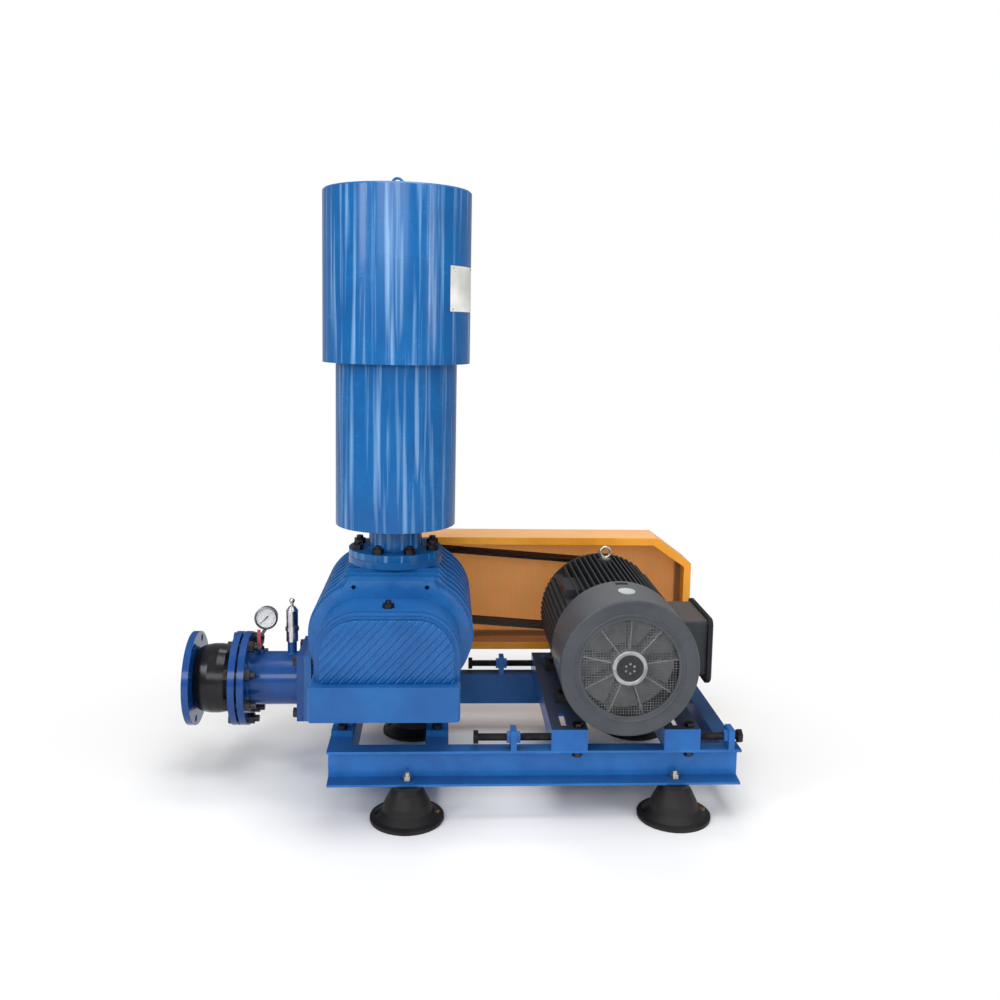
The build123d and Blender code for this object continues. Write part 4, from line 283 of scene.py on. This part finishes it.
# ---- Rubber feet -------------------------------------------------------------------------
# Bell-shaped machine mounts of black rubber, moulded over a steel stud and base plate, with a
# brass screw through each base.
def moulded(name, colour, roughness, grain, depth):
    """Moulded rubber or plastic with a fine, slightly greyed skin."""
    skin = bpy.data.materials.new(name)
    skin.use_nodes = True
    nodes, links = skin.node_tree.nodes, skin.node_tree.links
    shader = nodes["Principled BSDF"]
    shader.inputs["Specular IOR Level"].default_value = 0.3
    where = nodes.new("ShaderNodeTexCoord")
    cloud = nodes.new("ShaderNodeTexNoise")
    cloud.inputs["Scale"].default_value = 9.0
    cloud.inputs["Detail"].default_value = 7.0
    tone = nodes.new("ShaderNodeValToRGB")
    tone.color_ramp.elements[0].position = 0.35
    tone.color_ramp.elements[0].color = (*colour, 1.0)
    tone.color_ramp.elements[1].position = 0.75
    tone.color_ramp.elements[1].color = (*[min(1.0, c * 1.6 + 0.008) for c in colour], 1.0)
    sheen = nodes.new("ShaderNodeMapRange")
    sheen.inputs["To Min"].default_value = roughness - 0.08
    sheen.inputs["To Max"].default_value = roughness + 0.10
    pores = nodes.new("ShaderNodeTexNoise")
    pores.inputs["Scale"].default_value = grain
    relief = nodes.new("ShaderNodeBump")
    relief.inputs["Strength"].default_value = 0.25
    relief.inputs["Distance"].default_value = depth
    for texture in (cloud, pores):
        links.new(where.outputs["Object"], texture.inputs["Vector"])
    links.new(cloud.outputs["Fac"], tone.inputs["Fac"])
    links.new(tone.outputs["Color"], shader.inputs["Base Color"])
    links.new(cloud.outputs["Fac"], sheen.inputs["Value"])
    links.new(sheen.outputs["Result"], shader.inputs["Roughness"])
    links.new(pores.outputs["Fac"], relief.inputs["Height"])
    links.new(relief.outputs["Normal"], shader.inputs["Normal"])
    return skin


black_rubber = moulded("black_rubber", (0.007, 0.0055, 0.0055), 0.52, 500.0, 0.0004)
coat_nodes(black_rubber, "rubber_feet", "drive_belts")


# ---- Steel fixings -----------------------------------------------------------------------
# The studs and nuts of the pipe work and the jack bolts are oiled black steel, the nuts on the
# feet and the lifting eye are plated, and the floor screws are brass.
def bare_metal(name, colour, dull, roughness, low=None, split_at=0.0, thread=""):
    """Metal with a drifting tone and fine marks. It can take another tone below a height, or the
    ridges of a thread along an axis."""
    stain_scale = 40.0
    metal = bpy.data.materials.new(name)
    metal.use_nodes = True
    nodes, links = metal.node_tree.nodes, metal.node_tree.links
    shader = nodes["Principled BSDF"]
    shader.inputs["Metallic"].default_value = 1.0
    where = nodes.new("ShaderNodeTexCoord")
    stain = nodes.new("ShaderNodeTexNoise")
    stain.inputs["Scale"].default_value = stain_scale
    stain.inputs["Detail"].default_value = 5.0
    tone = nodes.new("ShaderNodeValToRGB")
    tone.color_ramp.elements[0].position = 0.36
    tone.color_ramp.elements[0].color = (*dull, 1.0)
    tone.color_ramp.elements[1].position = 0.6
    tone.color_ramp.elements[1].color = (*colour, 1.0)
    sheen = nodes.new("ShaderNodeMapRange")
    sheen.inputs["To Min"].default_value = max(0.03, roughness - 0.1)
    sheen.inputs["To Max"].default_value = roughness + 0.12
    marks = nodes.new("ShaderNodeTexNoise")
    marks.inputs["Scale"].default_value = stain_scale * 12.0
    relief = nodes.new("ShaderNodeBump")
    relief.inputs["Strength"].default_value = 0.12
    relief.inputs["Distance"].default_value = 0.0003
    links.new(where.outputs["Object"], stain.inputs["Vector"])
    links.new(where.outputs["Object"], marks.inputs["Vector"])
    links.new(stain.outputs["Fac"], tone.inputs["Fac"])
    links.new(tone.outputs["Color"], shader.inputs["Base Color"])
    links.new(stain.outputs["Fac"], sheen.inputs["Value"])
    links.new(sheen.outputs["Result"], shader.inputs["Roughness"])
    links.new(marks.outputs["Fac"], relief.inputs["Height"])
    links.new(relief.outputs["Normal"], shader.inputs["Normal"])
    if thread:
        ridges = nodes.new("ShaderNodeTexWave")
        ridges.bands_direction = thread
        ridges.inputs["Scale"].default_value = 125.0
        relief.inputs["Strength"].default_value = 0.9
        relief.inputs["Distance"].default_value = 0.0012
        links.new(where.outputs["Object"], ridges.inputs["Vector"])
        links.new(ridges.outputs["Fac"], relief.inputs["Height"])
    if low:
        place = nodes.new("ShaderNodeSeparateXYZ")
        above = nodes.new("ShaderNodeMath")
        above.operation = "GREATER_THAN"
        above.inputs[1].default_value = split_at
        two = nodes.new("ShaderNodeMix")
        two.data_type = "RGBA"
        two.inputs["A"].default_value = (*low, 1.0)
        links.new(where.outputs["Object"], place.inputs["Vector"])
        links.new(place.outputs["Z"], above.inputs[0])
        links.new(above.outputs["Value"], two.inputs["Factor"])
        links.new(tone.outputs["Color"], two.inputs["B"])
        links.new(two.outputs["Result"], shader.inputs["Base Color"])
    return metal


black_steel = bare_metal("black_steel", (0.055, 0.055, 0.060), (0.030, 0.030, 0.034), 0.42)
coat_nodes(black_steel, "pump_and_flange_bolts", "oil_filler_plug")
black_screw = bare_metal("black_screw", (0.060, 0.058, 0.060), (0.032, 0.030, 0.032), 0.40,
                         thread="X")
coat_nodes(black_screw, "jack_bolt_left_front", "jack_bolt_left_rear", "jack_bolt_right_front",
           "jack_bolt_right_rear")
foot_zinc = bare_metal("foot_zinc", (0.60, 0.58, 0.52), (0.40, 0.38, 0.33), 0.36,
                       low=(0.55, 0.36, 0.12), split_at=0.05)
coat_nodes(foot_zinc, "foot_fasteners")
eye_zinc = bare_metal("eye_zinc", (0.66, 0.62, 0.55), (0.44, 0.40, 0.34), 0.34,
                      low=(0.05, 0.05, 0.055), split_at=0.55)
coat_nodes(eye_zinc, "motor_fasteners")
steel = bare_metal("bare_steel", (0.50, 0.50, 0.50), (0.34, 0.33, 0.32), 0.33)
coat_nodes(steel, "blower_bearings_and_seals", "drive_timing_gear", "driven_timing_gear",
           "relief_valve_spring", "motor_bearings", "motor_rotor_shaft")
grey_iron = bare_metal("grey_iron", (0.20, 0.20, 0.20), (0.13, 0.125, 0.12), 0.5)
coat_nodes(grey_iron, "drive_rotor", "driven_rotor", "blower_pulley", "motor_pulley")
brass = bare_metal("brass", (0.55, 0.38, 0.14), (0.36, 0.24, 0.09), 0.34)
coat_nodes(brass, "terminals_and_glands")
copper = bare_metal("winding_copper", (0.55, 0.22, 0.10), (0.30, 0.12, 0.06), 0.45)
coat_nodes(copper, "motor_stator")

# ---- Pump --------------------------------------------------------------------------------
# Grey-iron castings, ribbed over the rotor chamber, with the sand's grain under the gloss blue;
# the gear case in front was sprayed a shade lighter than the pipe work.
casing_enamel = enamel("casing_enamel", (0.014, 0.130, 0.38), (0.009, 0.095, 0.31), 0.26, 0.32,
                       cast=0.55, grain=90.0)
coat_nodes(casing_enamel, "blower_casing", "front_end_plate", "rear_end_plate")
gear_case_enamel = enamel("gear_case_enamel", (0.009, 0.112, 0.35), (0.006, 0.084, 0.29), 0.30, 0.28,
                          cast=0.55, grain=90.0)
coat_nodes(gear_case_enamel, "gear_case")
gasket_sheet = moulded("gasket_sheet", (0.05, 0.05, 0.05), 0.7, 300.0, 0.0003)
coat_nodes(gasket_sheet, "flange_gaskets")

# ---- Outlet pipe and rubber joint --------------------------------------------------------
# Welded steel pipe and flanges in the darker gloss blue; the joint between the loose flanges is
# black rubber with a polished, ringed skin.
pipe_enamel = enamel("pipe_enamel", (0.006, 0.062, 0.25), (0.004, 0.046, 0.20), 0.22, 0.35)
coat_nodes(pipe_enamel, "outlet_pipe", "joint_inner_flange", "joint_outer_flange")
joint_rubber = moulded("joint_rubber", (0.004, 0.004, 0.006), 0.22, 60.0, 0.0015)
coat_nodes(joint_rubber, "rubber_joint")

# ---- Silencer ----------------------------------------------------------------------------
# Rolled steel drums, the wider one a hood over the narrower, with a glossy blue coat whose long
# upright streaks are painted reflections of the surroundings. The lining and the filter inside are pale
# cloth.
# The pale upright streaks on drum and hood are painted reflection.
silencer_enamel = enamel("silencer_enamel", (0.003, 0.118, 0.36), (0.002, 0.088, 0.29), 0.24, 0.25,
                         cast=0.05, painted_streaks=0.62)
coat_nodes(silencer_enamel, "silencer_drum", "rain_hood")
filter_cloth = moulded("filter_cloth", (0.55, 0.52, 0.42), 0.8, 200.0, 0.001)
coat_nodes(filter_cloth, "filter_element", "silencer_core")


# ---- Gear case front ---------------------------------------------------------------------
# The raised field of the gear case's cast cover: rounded over the two shafts, its rim a little
# soft, and crossed from edge to edge by close half-round grooves.
def make_piece(parts, name, paint, body):
    """Join these parts into one finished piece at the origin that moves with a body."""
    bpy.ops.object.select_all(action="DESELECT")
    for part in parts:
        part.select_set(True)
    bpy.context.view_layer.objects.active = parts[0]
    bpy.ops.object.transform_apply(location=True, rotation=True, scale=True)
    if len(parts) > 1:
        bpy.ops.object.join()
    whole = bpy.context.object
    whole.name = name
    whole.data.name = name
    whole.data.materials.clear()
    whole.data.materials.append(paint)
    bpy.ops.object.shade_smooth_by_angle(angle=radians(35.0))
    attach(whole, body)
    return whole


shafts = [joint["pos_m"] for joint in frame["joints"]
          if joint["name"] in ("drive_rotor_spin", "driven_rotor_spin")]
pump_x = (shafts[0][0] + shafts[1][0]) / 2
port_y = shafts[0][1]
shaft_z = shafts[0][2]
shaft_half = abs(shafts[0][0] - shafts[1][0]) / 2
cover_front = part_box("front_end_plate")[0].y - 0.155
field_radius = 0.0985
field_half = shaft_half + field_radius
field_low, field_high = shaft_z - 0.071, shaft_z + field_radius
field_depth = 0.0056
groove_radius, groove_spacing, groove_slope = 0.0044, 0.0245, radians(43.0)
bpy.ops.mesh.primitive_cube_add(
    size=1.0, location=(pump_x, cover_front - 0.0022, (field_low + field_high) / 2),
    scale=(2 * field_half, field_depth, field_high - field_low))
field = bpy.context.object
bpy.ops.object.transform_apply(location=True, rotation=True, scale=True)
bpy.context.tool_settings.mesh_select_mode = (False, True, False)
bpy.ops.object.mode_set(mode="EDIT")
bpy.ops.mesh.select_all(action="DESELECT")
bpy.ops.object.mode_set(mode="OBJECT")
for edge in field.data.edges:
    first, second = (field.data.vertices[i].co for i in edge.vertices)
    at_top = min(first.z, second.z) > field_high - 0.001
    edge.select = at_top and abs(first.x - second.x) < 0.001
bpy.ops.object.mode_set(mode="EDIT")
bpy.ops.mesh.bevel(offset=field_radius - 0.0005, segments=20, affect="EDGES")
bpy.ops.object.mode_set(mode="OBJECT")
bpy.context.tool_settings.mesh_select_mode = (True, False, False)
rim = field.modifiers.new("rim", "BEVEL")
rim.width = 0.0018
rim.segments = 3
rim.limit_method = "ANGLE"
bpy.ops.object.modifier_apply(modifier="rim")
grooves = []
for i in range(-11, 12):
    bpy.ops.mesh.primitive_cylinder_add(
        vertices=12, radius=groove_radius, depth=0.42, rotation=(0.0, groove_slope, 0.0),
        location=(pump_x + groove_spacing * i, cover_front - 0.006, shaft_z + 0.0135))
    grooves.append(bpy.context.object)
for groove in grooves:
    groove.select_set(True)
bpy.context.view_layer.objects.active = grooves[0]
bpy.ops.object.join()
groove_cutter = bpy.context.object
cut = field.modifiers.new("cut", "BOOLEAN")
cut.operation = "DIFFERENCE"
cut.solver = "EXACT"
cut.object = groove_cutter
bpy.ops.object.select_all(action="DESELECT")
field.select_set(True)
bpy.context.view_layer.objects.active = field
bpy.ops.object.modifier_apply(modifier="cut")
bpy.data.objects.remove(groove_cutter, do_unlink=True)
make_piece([field], "gear_case_field", gear_case_enamel, "base")

# ---- Plate on the hood -------------------------------------------------------------------
# A thin white-enamelled steel plate, left bare, bent to the hood's side and held by a rivet in
# each corner.
hood_low, hood_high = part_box("rain_hood")
hood_radius = hood_high.x - pump_x
plate_height = 0.128
plate_middle = hood_low.z + 0.2145
plate_from, plate_to = -44.0, -8.0
rivet_inset = 3.0
plate_paint = moulded("plate_white", (0.62, 0.62, 0.60), 0.35, 300.0, 0.0002)
bpy.ops.mesh.primitive_cylinder_add(vertices=240, radius=hood_radius + 0.0004, depth=plate_height,
                                    end_fill_type="NOTHING", location=(pump_x, port_y, plate_middle))
plate = bpy.context.object
bpy.ops.object.mode_set(mode="EDIT")
for angle, clear_before in ((plate_from, True), (plate_to, False)):
    bpy.ops.mesh.select_all(action="SELECT")
    bpy.ops.mesh.bisect(plane_co=(pump_x, port_y, plate_middle),
                        plane_no=(-sin(radians(angle)), cos(radians(angle)), 0.0),
                        clear_inner=clear_before, clear_outer=not clear_before)
bpy.ops.mesh.select_all(action="SELECT")
bpy.ops.mesh.bisect(plane_co=(pump_x, port_y, plate_middle), plane_no=(1.0, 0.0, 0.0), clear_inner=True)
bpy.ops.object.mode_set(mode="OBJECT")
skin = plate.modifiers.new("skin", "SOLIDIFY")
skin.thickness = 0.0008
skin.offset = 1.0
bpy.ops.object.modifier_apply(modifier="skin")
make_piece([plate], "hood_plate", plate_paint, "base")
rivets = []
for angle in (plate_from + rivet_inset, plate_to - rivet_inset):
    for height in (plate_middle - 0.0575, plate_middle + 0.0575):
        outward = Vector((cos(radians(angle)), sin(radians(angle)), 0.0))
        bpy.ops.mesh.primitive_uv_sphere_add(
            segments=16, ring_count=10, radius=0.0032,
            location=Vector((pump_x, port_y, height)) + outward * (hood_radius + 0.0002))
        rivets.append(bpy.context.object)
make_piece(rivets, "hood_plate_rivets", steel, "base")

# ---- Weld beads --------------------------------------------------------------------------
# Hand-laid fillet welds round both ends of the silencer's neck, behind the outlet pipe's two
# flanges and round the relief valve's stub, a little uneven and painted with the steel.
weld_paint = enamel("weld_enamel", (0.007, 0.110, 0.40), (0.004, 0.070, 0.29), 0.30, 0.4, cast=0.9,
                    grain=160.0)
neck_flange_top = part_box("silencer_drum")[0].z + 0.020
drum_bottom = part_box("silencer_core")[0].z - 0.004
pipe_low, pipe_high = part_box("outlet_pipe")
pipe_z = (pipe_low.z + pipe_high.z) / 2
stub_x = (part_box("relief_valve_body")[0].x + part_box("relief_valve_body")[1].x) / 2
tube_radius, stub_radius = 0.0810, 0.0150
flat, on_edge = (0.0, 0.0, 0.0), (0.0, pi / 2, 0.0)
beads = []
for place, turned, radius, bead in (
        ((pump_x, port_y, neck_flange_top + 0.0005), flat, tube_radius, 0.0034),
        ((pump_x, port_y, drum_bottom), flat, tube_radius, 0.0030),
        ((pipe_low.x + 0.0200, port_y, pipe_z), on_edge, tube_radius, 0.0036),
        ((pipe_high.x - 0.0205, port_y, pipe_z), on_edge, tube_radius, 0.0036),
        ((stub_x, port_y, pipe_z + 0.0788), flat, stub_radius, 0.0022)):
    bpy.ops.mesh.primitive_torus_add(location=place, rotation=turned, major_segments=144,
                                     minor_segments=10, major_radius=radius, minor_radius=bead)
    bpy.ops.object.mode_set(mode="EDIT")
    bpy.ops.mesh.select_all(action="SELECT")
    bpy.ops.transform.vertex_random(offset=bead * 0.12, seed=len(beads) + 1)
    bpy.ops.object.mode_set(mode="OBJECT")
    beads.append(bpy.context.object)
make_piece(beads, "weld_beads", weld_paint, "base")

# ---- Gauge, cock and relief valve --------------------------------------------------------
# A pressure gauge in a grey steel case, its dial behind glass, on a dark bronze cock with a red
# lever, and a chromed relief valve beside it. The dial is a thin disc and carries plain marks only.
bronze = bare_metal("dark_bronze", (0.16, 0.11, 0.06), (0.07, 0.05, 0.035), 0.40)
coat_nodes(bronze, "gauge_cock")
chrome = bare_metal("chrome", (0.66, 0.64, 0.66), (0.48, 0.46, 0.48), 0.22)
coat_nodes(chrome, "relief_valve_body", "relief_valve_stem")
gauge_steel = bare_metal("gauge_steel", (0.26, 0.25, 0.28), (0.17, 0.165, 0.19), 0.38)
coat_nodes(gauge_steel, "gauge_case")
lever_enamel = enamel("lever_enamel", (0.42, 0.06, 0.10), (0.30, 0.04, 0.07), 0.35, 0.3)
coat_nodes(lever_enamel, "gauge_cock_lever")
needle_black = moulded("needle_black", (0.01, 0.01, 0.01), 0.4, 500.0, 0.0001)
coat_nodes(needle_black, "gauge_needle")
clear_glass = bpy.data.materials.new("gauge_clear_glass")
clear_glass.use_nodes = True
nodes, links = clear_glass.node_tree.nodes, clear_glass.node_tree.links
shader = nodes["Principled BSDF"]
shader.inputs["Base Color"].default_value = (0.80, 0.83, 0.84, 1.0)
shader.inputs["Roughness"].default_value = 0.05
clear = nodes.new("ShaderNodeBsdfTransparent")
smears = nodes.new("ShaderNodeTexNoise")
smears.inputs["Scale"].default_value = 60.0
film = nodes.new("ShaderNodeMapRange")
film.inputs["To Min"].default_value = 0.06
film.inputs["To Max"].default_value = 0.12
pane = nodes.new("ShaderNodeMixShader")
links.new(smears.outputs["Fac"], film.inputs["Value"])
links.new(film.outputs["Result"], pane.inputs["Fac"])
links.new(clear.outputs["BSDF"], pane.inputs[1])
links.new(shader.outputs["BSDF"], pane.inputs[2])
links.new(pane.outputs["Shader"], nodes["Material Output"].inputs["Surface"])
coat_nodes(clear_glass, "gauge_glass")
dial_x, _, dial_z = next(joint["pos_m"] for joint in frame["joints"]
                         if joint["name"] == "gauge_needle_turn")
dial_y, marks_y = 0.0038, 0.0036
mark_edge = 0.0262
mark_count = 31
dial_paint = moulded("dial_white", (0.62, 0.62, 0.62), 0.5, 300.0, 0.0001)
bpy.ops.mesh.primitive_cylinder_add(vertices=72, radius=0.0292, depth=0.0006,
                                    location=(dial_x, dial_y, dial_z), rotation=(pi / 2, 0.0, 0.0))
make_piece([bpy.context.object], "gauge_dial", dial_paint, "base")
marks = []
for i in range(mark_count):
    angle = radians(225.0 - 9.0 * i)
    length, breadth = (0.0050, 0.0009) if i % 5 == 0 else (0.0028, 0.0005)
    radius = mark_edge - length / 2
    bpy.ops.mesh.primitive_cube_add(
        size=1.0, location=(dial_x + radius * cos(angle), marks_y, dial_z + radius * sin(angle)),
        rotation=(0.0, -angle, 0.0), scale=(length, 0.0003, breadth))
    marks.append(bpy.context.object)
make_piece(marks, "gauge_dial_marks", needle_black, "base")

# ---- Motor -------------------------------------------------------------------------------
# A finned cast-iron motor, sprayed dark grey, with a pressed steel fan cowl in front and a cast
# terminal box on its side; the fan is moulded in a lighter grey.
# The cowl's upturned faces take a lighter grey: painted light from above.
cowl_grey = enamel("cowl_grey", (0.066, 0.073, 0.084), (0.048, 0.053, 0.062), 0.42, 0.08,
                   painted_top_tone=(0.16, 0.16, 0.155), painted_top_share=0.5)
coat_nodes(cowl_grey, "motor_cowl")
motor_grey = enamel("motor_dark_grey", (0.026, 0.028, 0.031), (0.016, 0.018, 0.021), 0.45, 0.1,
                    cast=0.5, grain=110.0)
coat_nodes(motor_grey, "motor_barrel", "motor_end_shields")
# The box's upturned faces take a lighter tone: painted light from above.
box_grey = enamel("terminal_box_grey", (0.044, 0.050, 0.056), (0.030, 0.034, 0.040), 0.45, 0.1,
                  painted_top_tone=(0.12, 0.10, 0.085), painted_top_share=0.6, cast=0.4, grain=110.0)
coat_nodes(box_grey, "terminal_box")
lid_grey = enamel("terminal_lid_grey", (0.012, 0.014, 0.016), (0.008, 0.009, 0.011), 0.45, 0.1,
                  cast=0.4, grain=110.0)
coat_nodes(lid_grey, "terminal_box_lid")
fan_grey = moulded("fan_grey", (0.20, 0.205, 0.21), 0.5, 400.0, 0.0003)
coat_nodes(fan_grey, "motor_fan")

# ---- Cowl plate and bead -----------------------------------------------------------------
# A small oval plate of bare grey metal lies on top of the cowl, and a raised bead is pressed into
# the cowl's front round the air opening.
motor_x, _, motor_z = next(joint["pos_m"] for joint in frame["joints"]
                           if joint["name"] == "motor_rotor_spin")
cowl_low, cowl_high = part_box("motor_cowl")
cowl_front = cowl_low.y
cowl_radius = (cowl_high.x - cowl_low.x) / 2
facing_front = (pi / 2, 0.0, 0.0)
bpy.ops.mesh.primitive_cylinder_add(vertices=64, radius=0.0235, depth=0.0012,
                                    location=(motor_x, cowl_front + 0.090, motor_z + cowl_radius + 0.0001))
oval = bpy.context.object
oval.scale = (1.0, 1.35, 1.0)
oval_paint = moulded("oval_grey", (0.30, 0.33, 0.33), 0.4, 300.0, 0.0002)
make_piece([oval], "cowl_plate", oval_paint, "motor_carriage")
bpy.ops.mesh.primitive_torus_add(location=(motor_x, cowl_front + 0.0010, motor_z), rotation=facing_front,
                                 major_segments=144, minor_segments=12, major_radius=0.1480,
                                 minor_radius=0.0040)
make_piece([bpy.context.object], "cowl_front_bead", cowl_grey, "motor_carriage")

# ---- Fan guard ---------------------------------------------------------------------------
# A welded mesh of fine drawn wire in a rolled rim, set behind the cowl's opening, with a bright
# ring round a dark centre disc that carries a raised circle and six small screws.
wire_grey = bare_metal("wire_grey", (0.30, 0.31, 0.32), (0.18, 0.185, 0.19), 0.45)
mesh_radius = 0.1362
wire_radius, wire_spacing, wire_count = 0.00062, 0.0074, 17
wires = []
for i in range(-wire_count, wire_count + 1):
    offset = i * wire_spacing
    half = (mesh_radius ** 2 - offset ** 2) ** 0.5
    bpy.ops.mesh.primitive_cylinder_add(vertices=8, radius=wire_radius, depth=2.0 * half,
                                        location=(motor_x + offset, cowl_front + 0.0044, motor_z))
    wires.append(bpy.context.object)
    bpy.ops.mesh.primitive_cylinder_add(vertices=8, radius=wire_radius, depth=2.0 * half,
                                        location=(motor_x, cowl_front + 0.0054, motor_z + offset),
                                        rotation=(0.0, pi / 2, 0.0))
    wires.append(bpy.context.object)
bpy.ops.mesh.primitive_torus_add(location=(motor_x, cowl_front + 0.0052, motor_z), rotation=facing_front,
                                 major_segments=120, minor_segments=12, major_radius=mesh_radius,
                                 minor_radius=0.0018)
wires.append(bpy.context.object)
mesh_guard = make_piece(wires, "fan_guard_mesh", wire_grey, "motor_carriage")
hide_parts("motor_cowl_grille")
ring_bright = bare_metal("ring_bright", (0.42, 0.43, 0.44), (0.27, 0.28, 0.29), 0.42)
bpy.ops.mesh.primitive_torus_add(location=(motor_x, cowl_front + 0.0038, motor_z), rotation=facing_front,
                                 major_segments=96, minor_segments=16, major_radius=0.0425,
                                 minor_radius=0.0060)
ring = bpy.context.object
ring.scale = (1.0, 1.0, 0.45)
make_piece([ring], "fan_guard_ring", ring_bright, "motor_carriage")
bpy.ops.mesh.primitive_cylinder_add(vertices=72, radius=0.0380, depth=0.0022, rotation=facing_front,
                                    location=(motor_x, cowl_front + 0.0040, motor_z))
disc = bpy.context.object
bpy.ops.mesh.primitive_torus_add(location=(motor_x, cowl_front + 0.0029, motor_z), rotation=facing_front,
                                 major_segments=64, minor_segments=10, major_radius=0.0240,
                                 minor_radius=0.0016)
circle = bpy.context.object
make_piece([disc, circle], "fan_guard_centre", motor_grey, "motor_carriage")
screw_circle = 0.0130
screws = []
for i in range(6):
    angle = radians(60.0 * i + 30.0)
    bpy.ops.mesh.primitive_cylinder_add(
        vertices=6, radius=0.0036, depth=0.0030, rotation=facing_front,
        location=(motor_x + screw_circle * cos(angle), cowl_front + 0.0025,
                  motor_z + screw_circle * sin(angle)))
    screws.append(bpy.context.object)
make_piece(screws, "fan_guard_screws", wire_grey, "motor_carriage")

# ---- Belt guard --------------------------------------------------------------------------
# A folded sheet-steel box in orange, open at the front, with a panel of fine expanded mesh that
# lets light through from behind.
# The guard's upturned faces take a pale pinkish tone: painted highlight.
guard_orange = enamel("guard_orange", (0.90, 0.38, 0.030), (0.80, 0.31, 0.022), 0.36, 0.22,
                      painted_top_tone=(0.80, 0.50, 0.30), painted_top_share=0.6)
coat_nodes(guard_orange, "belt_guard", "belt_guard_brackets")
mesh_tan = enamel("mesh_tan", (0.82, 0.50, 0.24), (0.66, 0.37, 0.15), 0.6, 0.0)
nodes, links = mesh_tan.node_tree.nodes, mesh_tan.node_tree.links
shader = nodes["Principled BSDF"]
where = nodes.new("ShaderNodeTexCoord")
strands = nodes.new("ShaderNodeTexWave")
strands.bands_direction = "X"
strands.inputs["Scale"].default_value = 40.0
strands.inputs["Distortion"].default_value = 1.2
strands.inputs["Detail"].default_value = 2.0
shade = nodes.new("ShaderNodeMapRange")
shade.inputs["To Min"].default_value = 0.55
shade.inputs["To Max"].default_value = 1.0
through = nodes.new("ShaderNodeBsdfTranslucent")
through.inputs["Color"].default_value = (0.95, 0.62, 0.32, 1.0)
both = nodes.new("ShaderNodeMixShader")
both.inputs["Fac"].default_value = 0.55
dim = nodes.new("ShaderNodeMix")
dim.data_type = "RGBA"
dim.inputs["A"].default_value = (0.30, 0.15, 0.06, 1.0)
paint_link = shader.inputs["Base Color"].links[0]
links.new(where.outputs["Object"], strands.inputs["Vector"])
links.new(strands.outputs["Fac"], shade.inputs["Value"])
links.new(shade.outputs["Result"], dim.inputs["Factor"])
links.new(paint_link.from_socket, dim.inputs["B"])
links.new(dim.outputs["Result"], shader.inputs["Base Color"])
links.new(shader.outputs["BSDF"], both.inputs[1])
links.new(through.outputs["BSDF"], both.inputs[2])
links.new(both.outputs["Shader"], nodes["Material Output"].inputs["Surface"])
coat_nodes(mesh_tan, "belt_guard_mesh")
